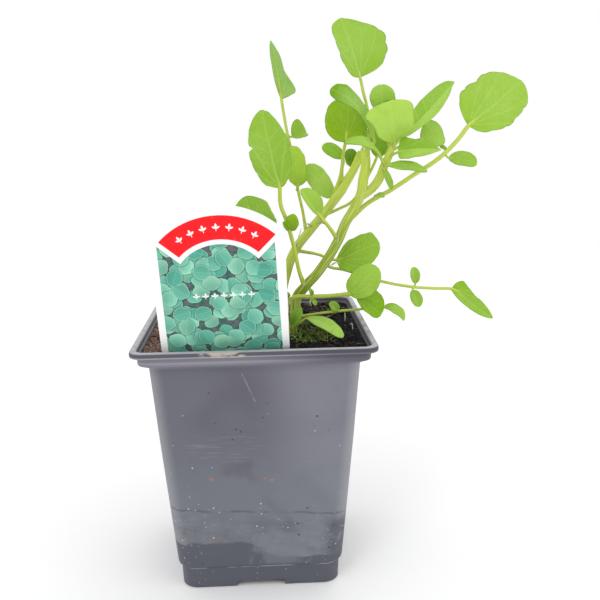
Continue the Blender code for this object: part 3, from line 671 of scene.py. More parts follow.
def blade_place(leaf, turn, across, seed=0.0):
    """A place on a blade's middle surface, and how far along and across it is, as shares of its length."""
    base, tip = Vector(leaf.stalk[-1]), Vector(leaf.tip)
    ahead = (tip - base).normalized()
    up = Vector(leaf.face)
    up = (up - up.dot(ahead) * ahead).normalized()
    side = ahead.cross(up)
    length = (tip - base).length
    along = (1.0 - math.cos(turn)) / 2.0
    outer = across**2
    edge = Vector((2.4 * math.cos(turn), 3.0 * math.copysign(math.sin(turn), across), seed))
    half = half_width(leaf.left if across < 0 else leaf.right, turn)
    half *= 1.0 + 2.0 * MARGIN_WAVE * noise.noise(edge) * outer
    count = max(3, round(length / TOOTH_SPACING))
    gap = 1.0 - abs(math.sin(count * turn + seed + (across > 0)))
    half *= 1.0 - leaf.teeth * gap**2 * outer**3
    if leaf.notch and across * leaf.notch[0] > 0:
        _, share, depth, reach = leaf.notch
        off = (along - share) / reach
        if -NOTCH_LEAD < off < 1.0:
            half -= depth * outer**2 * ((1.0 - off) ** 2 if off > 0 else 1.0 + off / NOTCH_LEAD)
    forward = length * (along - leaf.lobe * outer * (1.0 - along) ** 2)
    forward += 0.02 * length * noise.noise(edge + Vector((0, 0, 9.0))) * outer
    swell = 4.0 * along * (1.0 - along)
    ripple = FRILL * noise.noise(Vector((3.0 * along, 1.5 * across, seed + 4.0))) * abs(across) ** 1.5
    rise = leaf.fold * half * abs(across) ** 1.3 + leaf.arch * swell
    rise += ripple * min(1.0, length / FULL_FRILL_LENGTH) * 2.0 * math.sin(turn)
    rise -= VEIN_GROOVE * math.exp(-((half * across / GROOVE_WIDTH) ** 2)) * math.sin(turn)
    off = half * across
    place = base + forward * ahead + (off + leaf.bend * swell) * side + rise * up
    return place, forward / length, off / length


def add_blade(bm, leaf, seed):
    """A leaf blade as a fine single sheet, with what its veins and colour need stored on it."""
    length = (Vector(leaf.tip) - Vector(leaf.stalk[-1])).length
    rows = max(10, min(44, round(length * 1.8)))
    columns = max(8, min(28, 2 * round(length * 0.55)))
    tones = leaf.shade if isinstance(leaf.shade, tuple) else (leaf.shade, leaf.shade)
    small = blade_shape()
    position = small.verts.layers.float_vector["blade_place"]
    margin = small.verts.layers.float["margin"]
    shade = small.verts.layers.float["shade"]
    glow = small.verts.layers.float["glow"]
    bmesh.ops.create_grid(small, x_segments=columns, y_segments=rows, size=1.0)
    for vert in small.verts:
        across, turn = vert.co.x, math.pi * (vert.co.y + 1.0) / 2.0
        vert.co, along, off = blade_place(leaf, turn, across, seed)
        vert[position] = Vector((off, along, seed))
        vert[margin] = max(abs(across), abs(math.cos(turn)) ** 3)
        vert[shade] = (tones[0] if across < 0 else tones[1]) - leaf.deeper * along**2
        vert[glow] = leaf.glow
    if leaf.underside:
        bmesh.ops.reverse_faces(small, faces=small.faces)
    bmesh.ops.remove_doubles(small, verts=small.verts, dist=0.02)
    gather(bm, small)


def blade_shape():
    return with_layers(blade_place="float_vector", margin="float", shade="float", glow="float")


def make_leafy(name, stems, leaves, rootlets):
    """One leafy stem: its blades as one piece, and its stems, leaf stalks and rootlets as another."""
    blades = blade_shape()
    seeds = [7.3 * number + len(name) for number in range(len(leaves))]
    for leaf, seed in zip(leaves, seeds):
        add_blade(blades, leaf, seed)
    piece = add_piece(name + "_blades", blades, (LEAF_TOP, LEAF_UNDER), name)
    thick = piece.modifiers.new("thickness", "SOLIDIFY")
    thick.thickness = BLADE * MM
    thick.offset = 0.0
    thick.material_offset = 1

    shoots = shoot_shape()
    for stem in stems:
        add_shoot(shoots, stem.route, stem.radii, stem.pale, steps=7, sides=20,
                  rooted=stem.route[0][2] < LIP_BOTTOM)
    for leaf, seed in zip(leaves, seeds):
        behind = Vector(leaf.face).normalized() * (1.0 if leaf.underside else -1.0)
        places = list(leaf.stalk)
        for share in MIDRIB_SHARES:
            rib = blade_place(leaf, math.acos(1.0 - 2.0 * share), 0.0, seed)[0]
            places.append(rib + behind * leaf.radius * 0.35)
        radii = [1.3 * leaf.radius] + [leaf.radius] * (len(leaf.stalk) - 1)
        radii += [0.62 * leaf.radius, 0.42 * leaf.radius, 0.14 * leaf.radius]
        add_shoot(shoots, places, radii, STALK_PALE)
    for places in rootlets:
        add_shoot(shoots, places, (0.45, 0.34, 0.14), STALK_PALE, sides=6, material=1)
    add_piece(name + "_shoots", shoots, (STEM, ROOTLET), name)


def corner_shift(vert, half, corner, to_half, to_corner):
    """Moves a point of one rounded square onto another."""
    x, y = vert.co.x, vert.co.y
    middle_x = math.copysign(min(abs(x), half - corner), x)
    middle_y = math.copysign(min(abs(y), half - corner), y)
    scale = (to_half - to_corner) / (half - corner)
    vert.co.x = middle_x * scale + (x - middle_x) * to_corner / corner
    vert.co.y = middle_y * scale + (y - middle_y) * to_corner / corner


def inner_half(height):
    """Half the width of the pot's inside, on its tapered wall."""
    share = (height - STEP_HEIGHT) / (BODY_TOP - STEP_HEIGHT)
    return BODY_BOTTOM_HALF + share * (BODY_TOP_HALF - BODY_BOTTOM_HALF) - WALL


def rounded_shell(levels):
    """A closed moulding grown level by level from a rounded square: half width, height and corner radius."""
    bm = bmesh.new()
    half, height, corner = levels[0]
    bmesh.ops.create_grid(bm, x_segments=1, y_segments=1, size=half)
    bmesh.ops.bevel(bm, geom=bm.verts[:], offset=corner, affect="VERTICES", segments=CORNER_SEGMENTS,
                    profile=0.5, material=-1)
    move(bm, 0, 0, height)
    for vert in bm.verts:
        pull_to_arc(vert, half, corner)
    face = bm.faces[:][0]
    bmesh.ops.duplicate(bm, geom=[face])
    for to_half, to_height, to_corner in levels[1:]:
        grown = bmesh.ops.extrude_discrete_faces(bm, faces=[face])["faces"]
        face = grown[0]
        for vert in face.verts:
            corner_shift(vert, half, corner, to_half, to_corner)
            vert.co.z = to_height
        half, corner = to_half, to_corner
    bmesh.ops.remove_doubles(bm, verts=bm.verts, dist=0.001)
    bmesh.ops.recalc_face_normals(bm, faces=bm.faces)
    return bm


def pull_to_arc(vert, half, corner):
    """Puts a bevelled corner's point on its round arc."""
    over = Vector((abs(vert.co.x) - half + corner, abs(vert.co.y) - half + corner))
    if over.x > 0 and over.y > 0:
        over = over.normalized() * corner
        vert.co.x = math.copysign(half - corner + over.x, vert.co.x)
        vert.co.y = math.copysign(half - corner + over.y, vert.co.y)


def shaping(name, bm, target, operation="DIFFERENCE"):
    """A helper shape that is cut out of a piece, or joined to it."""
    bmesh.ops.recalc_face_normals(bm, faces=bm.faces)
    shape = add_object(name, bm)
    cut = target.modifiers.new(name, "BOOLEAN")
    cut.operation = operation
    cut.object = shape
    cut.solver = "EXACT"
    return shape


def keep_result(piece, *helpers):
    """Keeps a piece as its modifiers make it, and removes the helpers."""
    bpy.context.view_layer.update()
    result = bpy.data.meshes.new_from_object(piece.evaluated_get(bpy.context.evaluated_depsgraph_get()))
    piece.modifiers.clear()
    piece.data = result
    for helper in helpers:
        bpy.data.objects.remove(helper)


def upright_rod(radius, length, segments):
    """A closed upright cylinder, its middle at the origin."""
    bm = bmesh.new()
    bmesh.ops.create_cone(bm, cap_ends=True, segments=segments, radius1=radius, radius2=radius, depth=length)
    return bm


def pot_levels():
    """The pot's half width, height and corner radius, from inside its foot round its rim to its floor."""
    inside_foot = FOOT_HALF - WALL
    return (
        (inside_foot, FLOOR_UNDERSIDE, FOOT_CORNER - WALL),
        (inside_foot + 0.1, 0.2, FOOT_CORNER - WALL),
        (inside_foot + 0.3, 0.0, FOOT_CORNER - 0.7),
        (FOOT_HALF - 0.35, 0.0, FOOT_CORNER - 0.3),
        (FOOT_HALF - 0.1, 0.12, FOOT_CORNER),
        (FOOT_HALF, 0.4, FOOT_CORNER),
        (FOOT_TOP_HALF, STEP_HEIGHT - 1.0, FOOT_CORNER),
        (FOOT_TOP_HALF + 0.1, STEP_HEIGHT - 0.7, FOOT_CORNER),
        (BODY_BOTTOM_HALF - 0.5, STEP_HEIGHT - 0.4, BODY_CORNER),
        (BODY_BOTTOM_HALF - 0.1, STEP_HEIGHT + 0.1, BODY_CORNER),
        (BODY_BOTTOM_HALF + 0.05, STEP_HEIGHT + 0.7, BODY_CORNER),
        (BODY_BOTTOM_HALF + 2.1, STEP_HEIGHT + 26.0, BODY_CORNER),
        (BODY_BOTTOM_HALF + 4.2, STEP_HEIGHT + 52.0, BODY_CORNER),
        (BODY_TOP_HALF, BODY_TOP - 0.6, BODY_CORNER),
        (BODY_TOP_HALF + 0.3, BODY_TOP - 0.1, BODY_CORNER),
        (COLLAR_HALF - 1.0, COLLAR_BOTTOM - 0.5, RIM_CORNER),
        (COLLAR_HALF - 0.2, COLLAR_BOTTOM - 0.1, RIM_CORNER),
        (COLLAR_HALF, COLLAR_BOTTOM + 0.4, RIM_CORNER),
        (COLLAR_HALF, LIP_BOTTOM - 0.3, RIM_CORNER),
        (COLLAR_HALF + 0.3, LIP_BOTTOM, RIM_CORNER),
        (RIM_HALF - 0.45, LIP_BOTTOM, RIM_CORNER - 0.4),
        (RIM_HALF - 0.1, LIP_BOTTOM + 0.15, RIM_CORNER),
        (RIM_HALF, LIP_BOTTOM + 0.5, RIM_CORNER),
        (RIM_HALF, RIM_TOP - 0.7, RIM_CORNER),
        (RIM_HALF - 0.15, RIM_TOP - 0.3, RIM_CORNER),
        (RIM_HALF - 0.5, RIM_TOP - 0.08, RIM_CORNER - 0.3),
        (RIM_HALF - 1.2, RIM_TOP, RIM_CORNER - 0.5),
        (RIM_INNER_HALF + 0.6, RIM_TOP - 0.05, RIM_CORNER - WALL),
        (RIM_INNER_HALF, RIM_TOP - 0.3, RIM_CORNER - WALL),
        (RIM_INNER_HALF - 0.4, RIM_TOP - 1.0, RIM_CORNER - WALL),
        (COLLAR_HALF - WALL - 0.2, COLLAR_BOTTOM + 0.5, RIM_CORNER - WALL),
        (inner_half(BODY_TOP) + 0.05, BODY_TOP + 0.5, BODY_CORNER - WALL),
        (inner_half(STEP_HEIGHT), STEP_HEIGHT, BODY_CORNER - WALL),
        (FOOT_HALF - WALL, FLOOR_TOP, FOOT_CORNER - WALL),
    )


def make_pot():
    """The pot's moulding, its edges rounded and its floor pierced."""
    pot = add_piece("nursery_pot", rounded_shell(pot_levels()), (pot_finish(),), "pot")
    pad = upright_rod(PAD_RADIUS, FLOOR_UNDERSIDE + 0.5, 48)
    move(pad, 0, 0, (FLOOR_UNDERSIDE + 0.5) / 2)
    helpers = [shaping("pad", pad, pot, "UNION")]
    for quarter in range(4):
        turn = Matrix.Rotation(math.radians(90.0 * quarter), 3, "Z")
        notch = bmesh.new()
        bmesh.ops.create_cube(notch, size=1.0)
        stretch(notch, NOTCH_WIDTH, 6.0, 2 * NOTCH_HEIGHT)
        bmesh.ops.bevel(notch, geom=notch.edges[:], offset=0.7, affect="EDGES", segments=3, profile=0.5,
                        material=-1)
        move(notch, 0, -FOOT_HALF, 0)
        bmesh.ops.rotate(notch, matrix=turn, verts=notch.verts)
        helpers.append(shaping("notch_%d" % quarter, notch, pot))
        hole = upright_rod(DRAIN_HOLE_RADIUS, 4 * FLOOR_TOP, 40)
        move(hole, *(turn @ Vector((DRAIN_HOLE_REACH, DRAIN_HOLE_REACH, 0.0))))
        helpers.append(shaping("drain_%d" % quarter, hole, pot))
    keep_result(pot, *helpers)
    flatten_shading(pot)


def flatten_shading(piece):
    """Keeps flat faces flat in the light, between rounded edges."""
    piece.data.shade_smooth()
    piece.data.set_sharp_from_angle(angle=math.radians(50.0))
    level = piece.modifiers.new("level_shading", "WEIGHTED_NORMAL")
    level.keep_sharp = True


def plastic_tones(finish, x, z, broad):
    """The plastic's greys: painted light that makes it lighter at the right, dusty below, pale along the
    upright corners, and painted light and shade on the collar band, lighter at the left and darker at the
    right.
    """
    # painted light and shade for the collar band: lighter at the left, darker at the right
    rim = finish.mix(x.step(-10.0, 35.0), (0.215, 0.210, 0.250), (0.085, 0.083, 0.105))
    corner = abs(x) - 0.0795 * z
    return finish.coats(
        (0.098, 0.096, 0.122),
        (broad.step(0.38, 0.62), (0.128, 0.127, 0.156)),
        # painted light: the front grows lighter towards the right, where more light falls
        ((x + 0.2 * (z - 50.0)).step(0.0, 28.0) * 0.85, (0.205, 0.204, 0.243)),
        (z.fade(38.0, 85.0, 0.7), (0.172, 0.184, 0.213)),
        (finish.noise(60.0).step(0.45, 0.7) * 0.3, (0.125, 0.132, 0.158)),
        (corner.step(26.0, 31.5) * z.fade(94.0, 96.0) * 0.6, (0.32, 0.32, 0.345)),
        (finish.noise(38.0).step(0.60, 0.70) * 0.4, (0.075, 0.075, 0.092)),
        # painted light and shade on the collar band below the lip
        (z.step(93.0, 96.5) * 0.85, rim),
    )


def splash_tones(finish, colour, x, z, facing):
    """Dried splashes under a tide line, a damp foot, and a painted highlight along the foot's step. Also
    where the splashes and damp are, and the splashes' streaks.
    """
    streaks = finish.noise(1.0, 4.0, finish.stretched(130.0, 130.0, 260.0), 0.6)
    blotches = finish.noise(1.0, 3.0, finish.stretched(170.0, 170.0, 110.0), 0.6)
    tide = z + 0.06 * (x + 26.6) + (finish.noise(160.0) - 0.5) * 2.5
    splashed = tide.fade(30.0, 37.0) * facing
    tide_line = (tide - 35.0).band(0.0, 0.15, 0.5) * facing * streaks.step(0.42, 0.6)
    damp = (z + (streaks - 0.5) * 3.5 + x.step(-6.0, 8.0, 0.0, 7.0)).fade(19.6, 20.8)
    wiped = x.band(9.5, 12.5, 2.5) * z.band(17.0, 6.0, 2.0) * facing * blotches.step(0.38, 0.52)
    corner_damp = x.step(24.0, 29.0) * z.fade(26.0, 32.0) * blotches.step(0.3, 0.5)
    # painted highlight: a broken pale line where the foot's step catches the light
    step_highlight = z.band(STEP_HEIGHT - 1.0, 0.12, 0.3) * finish.noise(90.0).step(0.42, 0.6)
    colour = finish.coats(
        colour,
        (splashed * streaks.step(0.45, 0.68) * 0.4, (0.215, 0.225, 0.245)),
        (splashed * streaks.fade(0.30, 0.50) * 0.4, (0.105, 0.11, 0.13)),
        (splashed * blotches.step(0.56, 0.66) * x.step(-8.0, -24.0) * 0.6, (0.20, 0.175, 0.165)),
        (tide_line * 0.5, (0.055, 0.055, 0.068)),
        (damp * 0.92, (0.082, 0.086, 0.112)),
        (wiped * 0.5, (0.185, 0.195, 0.215)),
        (corner_damp * 0.8, (0.085, 0.088, 0.11)),
        (step_highlight * 0.75, (0.33, 0.33, 0.35)),
    )
    return colour, splashed, damp, streaks


def speck_tones(finish, colour, z):
    """Pale specks, thicker low down, and dark spots. Also where both are."""
    specks = finish.cells(230.0).fade(0.05, 0.09) * finish.noise(45.0, 1.0).step(0.44, 0.54)
    grains = finish.cells(480.0).fade(0.08, 0.14, 0.7) * finish.noise(55.0, 2.0).step(0.47, 0.58)
    specks = specks.larger(grains * z.fade(35.0, 55.0)) * z.step(60.0, 80.0, 1.0, 0.4)
    spots = finish.cells(150.0, finish.stretched(1.0, 1.0, 1.3)).fade(0.06, 0.1)
    spots = spots * finish.noise(28.0, 1.0).step(0.46, 0.55)
    pale, dark = (0.60, 0.60, 0.58), (0.035, 0.037, 0.045)
    return finish.coats(colour, (specks * 0.85, pale), (spots * 0.75, dark)), specks, spots


def scuff_tones(finish, colour, x, z, facing):
    """Rust spots, a scratch and a rubbed patch on the front. Also where the scratch is."""
    for across, up, size in RUST_SPOTS:
        far = finish.vector_maths("LENGTH", {0: finish.vector(x - across, (z - up) * 1.4)}, "Value")
        rust = (far + finish.noise(900.0) * 1.6).fade(size, size + 0.9) * facing
        colour = finish.mix(rust * 0.7, colour, (0.34, 0.17, 0.09))
    scratch = abs((x + 4.9) - (90.8 - z) * 0.41).fade(0.08, 0.4) * z.band(85.3, 5.4, 0.8)
    scratch = scratch * facing * finish.noise(500.0).step(0.3, 0.55)
    rubbed = finish.noise(1.0, 2.0, finish.stretched(120.0, 120.0, 1700.0)).step(0.54, 0.66)
    rubbed = rubbed * x.band(-12.0, 10.0, 8.0) * z.band(61.0, 3.5, 4.0) * facing
    tones = (scratch * 0.5, (0.30, 0.30, 0.31)), (rubbed * 0.16, (0.34, 0.34, 0.36))
    return finish.coats(colour, *tones), scratch


def rim_tones(finish, colour, x, y, z):
    """A dark band round the lip's face, a grimy pale top, painted highlights along the lip's edges, painted
    light on the collar, and one scuff. Also where the top is.
    """
    top = z.step(100.55, 100.9)
    grime = finish.noise(150.0, 4.0, roughness=0.65)
    # painted light on the collar under the lip, with a thin pale line, fading to the right
    painted_collar_light = z.band(95.8, 2.3, 0.6) * 0.1 + z.band(96.4, 0.2, 0.3) * 0.4
    # painted highlights: thin pale lines along the lip's top and bottom edges, fainter to the right
    lip_highlight = z.band(100.75, 0.05, 0.2) + z.band(98.9, 0.1, 0.3)
    scuff = x.band(-11.5, 6.5, 2.5) * z.band(99.5, 0.9, 0.5) * y.fade(-44.5, -44.0)
    scuff = scuff * finish.noise(1.0, 4.0, finish.stretched(260.0, 260.0, 900.0)).step(0.35, 0.55)
    colour = finish.coats(
        colour,
        (z.band(99.95, 0.5, 0.25) * 0.8, (0.055, 0.055, 0.073)),
        (top * grime.step(0.2, 0.5) * 0.9, (0.44, 0.44, 0.455)),
        (top * grime.step(0.58, 0.7) * 0.35, (0.12, 0.10, 0.085)),
        (painted_collar_light * x.step(0.0, 35.0, 1.0, 0.1), (0.36, 0.355, 0.40)),
        (lip_highlight * x.step(-5.0, 40.0, 0.6, 0.2), (0.36, 0.36, 0.40)),
        (scuff * 0.85, (0.50, 0.43, 0.37)),
    )
    return colour, top


def pot_finish():
    """Grey moulded plastic, dusty above and damp below, with splashes, specks and scuffs, and with painted
    light, shade and highlights.
    """
    finish = Finish("pot_plastic", Specular_IOR_Level=0.32)
    x, y, z = [part * 1000.0 for part in finish.parts(finish.place)]
    facing = y.fade(-30.5, -29.5)
    broad = finish.noise(22.0, 2.0)
    colour = plastic_tones(finish, x, z, broad)
    colour, splashed, damp, streaks = splash_tones(finish, colour, x, z, facing)
    colour, specks, spots = speck_tones(finish, colour, z)
    colour, scratch = scuff_tones(finish, colour, x, z, facing)
    colour, top = rim_tones(finish, colour, x, y, z)
    finish.feed(Base_Color=colour,
                Roughness=0.50 + 0.18 * broad - 0.12 * damp + 0.1 * splashed + 0.15 * top)
    raised = 0.35 * finish.noise(1400.0, 2.0) + 0.5 * streaks * splashed + 0.9 * specks + 0.6 * spots
    finish.bump(raised - 0.8 * scratch, 0.10)
    return finish


def compost_lump(x, y):
    near = noise.noise(Vector((x, y, 0.0)) / COMPOST_LUMP_SIZE)
    wide = noise.noise(Vector((x, y, 40.0)) / (3 * COMPOST_LUMP_SIZE))
    share = min(1.0, max(0.0, (-x - MOUND_START) / (MOUND_END - MOUND_START)))
    return COMPOST_LUMP * (near + wide) + COMPOST_MOUND * share * share * (3.0 - 2.0 * share)


def compost_level(x, y):
    """The height of the compost's surface, and its fine lumps with it."""
    inside = max(0.0, 1.0 - (max(abs(x), abs(y)) / (RIM_INNER_HALF - 1.3)) ** 16)
    fine = noise.noise(Vector((x, y, 3.0)) / 1.7) * 0.55 + noise.noise(Vector((x, y, 8.0)) / 0.8) * 0.3
    return COMPOST_TOP + inside * compost_lump(x, y) + fine


def make_compost():
    """Crumbly compost with fibres, grit and moss on its surface."""
    random.seed(41)
    bm = bmesh.new()
    half = RIM_INNER_HALF - 1.3
    bmesh.ops.create_grid(bm, x_segments=COMPOST_CELLS, y_segments=COMPOST_CELLS, size=half)
    for vert in bm.verts:
        pull = vert.co.copy()
        pull_in(pull, half, RIM_CORNER - WALL)
        vert.co = Vector((pull.x, pull.y, compost_level(pull.x, pull.y)))
    rim = [edge for edge in bm.edges if edge.is_boundary]
    for to_half, to_height in ((COLLAR_HALF - WALL - 2 * GAP, COLLAR_BOTTOM + 0.8),
                               (inner_half(BODY_TOP) - 2 * GAP, BODY_TOP + 0.5),
                               (inner_half(STEP_HEIGHT) - GAP, STEP_HEIGHT + GAP),
                               (FOOT_HALF - WALL - GAP, FLOOR_TOP + GAP)):
        grown = bmesh.ops.extrude_edge_only(bm, edges=rim)["geom"]
        rim = [item for item in grown if isinstance(item, bmesh.types.BMEdge) and item.is_boundary]
        verts = list({vert for edge in rim for vert in edge.verts})
        reach = max(abs(vert.co.x) for vert in verts)
        for vert in verts:
            vert.co = Vector((vert.co.x * to_half / reach, vert.co.y * to_half / reach, to_height))
            pull_in(vert.co, to_half, BODY_CORNER - WALL)
    bmesh.ops.contextual_create(bm, geom=rim)
    bmesh.ops.recalc_face_normals(bm, faces=bm.faces)
    for _ in range(CRUMBS):
        x, y = uniform(-1, 1) * (half - 1.5), uniform(-1, 1) * (half - 1.5)
        size = 0.28 + 0.75 * random.random() ** 3
        is_grit = random.random() < GRIT_SHARE
        place = (x, y, compost_level(x, y) + 0.2 * size)
        add_crumb(bm, place, GRIT_SIZE * size if is_grit else size, int(is_grit))
    grit = mottled_finish("grit", ((0.30, 0.29, 0.27), (0.66, 0.64, 0.60)), (700.0, 0.35, 0.65),
                          (1500.0, 0.75, 0.2), (3000.0, 0.06))
    add_piece("compost_bed", bm, (compost_finish(), grit), "compost")
    make_fibres()
    make_moss()


def pull_in(place, half, corner):
    """Draws a place of a square grid in to the square with round corners."""
    over_x, over_y = abs(place.x) - (half - corner), abs(place.y) - (half - corner)
    if over_x > 0 and over_y > 0:
        pull = max(over_x, over_y) / math.hypot(over_x, over_y)
        place.x = math.copysign(half - corner + pull * over_x, place.x)
        place.y = math.copysign(half - corner + pull * over_y, place.y)


def add_crumb(bm, place, size, material):
    """One rough crumb, pressed into the surface."""
    small = bmesh.new()
    bmesh.ops.create_icosphere(small, subdivisions=1, radius=size)
    shares = uniform(0.7, 1.5), uniform(0.7, 1.2), uniform(0.5, 0.9)
    for vert in small.verts:
        vert.co *= 1.0 + uniform(-0.22, 0.22)
    turn = Matrix.Rotation(uniform(0, math.tau), 3, "Z") @ Matrix.Rotation(uniform(-0.6, 0.6), 3, "X")
    stretch(small, *shares)
    bmesh.ops.rotate(small, matrix=turn, verts=small.verts)
    move(small, *place)
    for face in small.faces:
        face.material_index = material
    gather(bm, small)


def compost_finish():
    """Brown fibrous compost at the left, nearly black and damp at the right."""
    finish = Finish("compost", Specular_IOR_Level=0.1)
    x, _, _ = finish.parts(finish.place)
    damp = (x + 0.02 * (finish.noise(60.0, 2.0) - 0.5)).step(-0.022, -0.002)
    fine = finish.noise(900.0, 4.0, roughness=0.7)
    flecks = finish.cells(520.0).fade(0.05, 0.09, 0.8) * finish.noise(130.0, 1.0).step(0.5, 0.6)
    colour = finish.coats(
        finish.mix(fine.step(0.38, 0.62), (0.013, 0.008, 0.007), (0.24, 0.145, 0.115)),
        (damp, finish.mix(fine.step(0.42, 0.72), (0.003, 0.003, 0.004), (0.028, 0.024, 0.028))),
        (finish.noise(350.0).step(0.6, 0.7) * damp.step(0.0, 1.0, 0.7, 0.35), (0.24, 0.16, 0.12)),
        (flecks, (0.52, 0.50, 0.50)),
    )
    finish.feed(Base_Color=colour, Roughness=0.95 - 0.35 * damp * finish.noise(420.0).step(0.5, 0.7))
    finish.bump(fine + 0.6 * finish.noise(2600.0, 2.0), 0.3)
    return finish


def within(reach, value):
    return max(-reach, min(reach, value))


def make_fibres():
    """Peat fibres and white rootlets that lie on the compost."""
    random.seed(17)
    bm = shoot_shape()
    for number in range(FIBRES):
        x, y = uniform(-37, 37), uniform(-37, 37)
        turn, length = uniform(0, math.tau), uniform(2.0, 7.0)
        places = []
        for share in (0.0, 0.35, 0.7, 1.0):
            px = within(38.0, x + length * share * math.cos(turn + share))
            py = within(38.0, y + length * share * math.sin(turn + share))
            lift = 0.25 + 0.5 * math.sin(math.pi * share) * random.random()
            places.append(Vector((px, py, compost_level(px, py) + lift)))
        thick = uniform(0.07, 0.16)
        add_tube(bm, places, (thick, thick, thick, 0.5 * thick), STALK_PALE, sides=5,
                 material=1 if number % 9 == 0 else 0)
    for places in (((38.9, 17.0, 98.8), (38.5, 13.0, 100.0), (38.0, 8.0, 99.8), (37.5, 3.5, 98.8)),
                   ((39.0, -1.5, 98.9), (39.4, -5.0, 99.8), (39.1, -10.0, 98.9))):
        add_shoot(bm, places, (0.18, 0.22, 0.2, 0.1)[: len(places)], STALK_PALE, sides=8, material=1)
    peat = mottled_finish("peat_fibre", ((0.05, 0.028, 0.015), (0.20, 0.12, 0.065)), (140.0, 0.35, 0.65),
                          (900.0, 0.85, 0.1), (3000.0, 0.04))
    root = mottled_finish("pale_root", ((0.44, 0.42, 0.37), (0.24, 0.20, 0.15)), (400.0, 0.4, 0.7),
                          (900.0, 0.6, 0.2), (2600.0, 0.05))
    add_piece("compost_fibres", bm, (peat, root), "compost")


def make_moss():
    """Tufts of moss and thin weed threads round the stems."""
    random.seed(5)
    bm = shoot_shape()
    for middle_x, middle_y, reach, count in MOSS:
        for number in range(count):
            turn, out = uniform(0, math.tau), reach * math.sqrt(random.random())
            x = within(37.0, middle_x + out * math.cos(turn))
            y = within(37.0, middle_y + out * math.sin(turn))
            lean = Vector((uniform(-1, 1), uniform(-1, 1), uniform(0.1, 0.8))).normalized()
            lean *= uniform(2.0, 4.5) if number % 4 == 0 else uniform(0.7, 1.6)
            bend = lean + Vector((lean.y, -lean.x, -0.4 * lean.z)) * uniform(-0.6, 0.6) + 0.4 * lean
            start = Vector((x, y, compost_level(x, y)))
            thick, pale = uniform(0.06, 0.14), random.random() ** 1.5
            sizes = (thick, thick, 0.4 * thick)
            add_tube(bm, (start, start + lean, start + bend), sizes, (pale, pale), sides=5)
    add_piece("moss", bm, (moss_finish(),), "compost")


def moss_finish():
    finish = Finish("moss")
    colour = finish.coats(
        (0.035, 0.072, 0.008),
        (finish.attribute("pale"), (0.26, 0.40, 0.055)),
        (finish.noise(240.0).step(0.5, 0.7) * 0.6, (0.12, 0.08, 0.03)),
    )
    finish.feed(Base_Color=colour, Roughness=0.8 + 0.1 * finish.noise(1200.0))
    finish.bump(finish.noise(2800.0), 0.05)
    return finish


def label_place():
    """Where the label's own plane lies: across it, through it and up it."""
    turn = Matrix.Rotation(LABEL_LEAN, 4, "X") @ Matrix.Rotation(-LABEL_TURN, 4, "Y")
    return Matrix.Translation((LABEL_MIDDLE, LABEL_FRONT_AT_RIM, RIM_TOP)) @ turn


def make_label():
    """The printed plate and its stake, with eased edges."""
    half = LABEL_WIDTH / 2
    spread = math.asin(half / LABEL_ARCH_RADIUS)
    arch_middle = LABEL_SHOULDER - math.sqrt(LABEL_ARCH_RADIUS**2 - half**2)
    outline = []
    for step in range(LABEL_ARCH_STEPS + 1):
        angle = spread * (1 - 2 * step / LABEL_ARCH_STEPS)
        across, up = LABEL_ARCH_RADIUS * math.sin(angle), LABEL_ARCH_RADIUS * math.cos(angle)
        outline.append((across, arch_middle + up))
    outline += [(-half, LABEL_FOOT + 1), (-half + 1, LABEL_FOOT), (-STAKE_WIDTH / 2, STAKE_TOP)]
    outline += [(-STAKE_WIDTH / 2, STAKE_POINT + STAKE_TAPER), (0.0, STAKE_POINT)]
    outline += [(STAKE_WIDTH / 2, STAKE_POINT + STAKE_TAPER), (STAKE_WIDTH / 2, STAKE_TOP)]
    outline += [(half - 1, LABEL_FOOT), (half, LABEL_FOOT + 1)]
    bm = bmesh.new()
    face = bm.faces.new([bm.verts.new((across, 0.0, up)) for across, up in outline])
    solid = bmesh.ops.extrude_face_region(bm, geom=[face])
    back = [item for item in solid["geom"] if isinstance(item, bmesh.types.BMVert)]
    bmesh.ops.translate(bm, vec=Vector((0, LABEL_THICKNESS, 0)), verts=back)
    bmesh.ops.recalc_face_normals(bm, faces=bm.faces)
    sharp = [edge for edge in bm.edges if len(edge.link_faces) == 2 and edge.calc_face_angle() > 1.2]
    bmesh.ops.bevel(bm, geom=sharp, offset=0.18, affect="EDGES", segments=3, profile=0.5, material=-1)
    bmesh.ops.transform(bm, matrix=label_place(), verts=bm.verts)
    label = add_piece("printed_label", bm, (label_finish(),), "label")
    flatten_shading(label)


def oval(x, y, middle, length, width, turn):
    """1 inside an oval leaf mark that is turned on the print."""
    off_x, off_y = x - middle[0], y - middle[1]
    along = off_x * math.cos(turn) + off_y * math.sin(turn)
    across = off_y * math.cos(turn) - off_x * math.sin(turn)
    return ((along / length) * (along / length) + abs(across / width)).fade(0.92, 1.08)


def sprig(x, y):
    """A small plain sprig of three leaves on a stalk, about 3 mm tall."""
    mark = oval(x, y, (0.0, 0.75), 0.85, 0.38, math.pi / 2)
    for turn in (0.55, math.pi - 0.55):
        middle = (0.75 * math.cos(turn), -0.25 + 0.6 * math.sin(turn))
        mark = mark.larger(oval(x, y, middle, 0.8, 0.36, turn))
    return mark.larger(abs(x).fade(0.08, 0.16) * y.step(-1.3, -1.2) * y.fade(0.4, 0.6))


def repeated(value, pitch):
    """A value measured from the middle of the nearest of a row of equal cells."""
    return value.maths("WRAP", value, 0.5 * pitch, -0.5 * pitch)


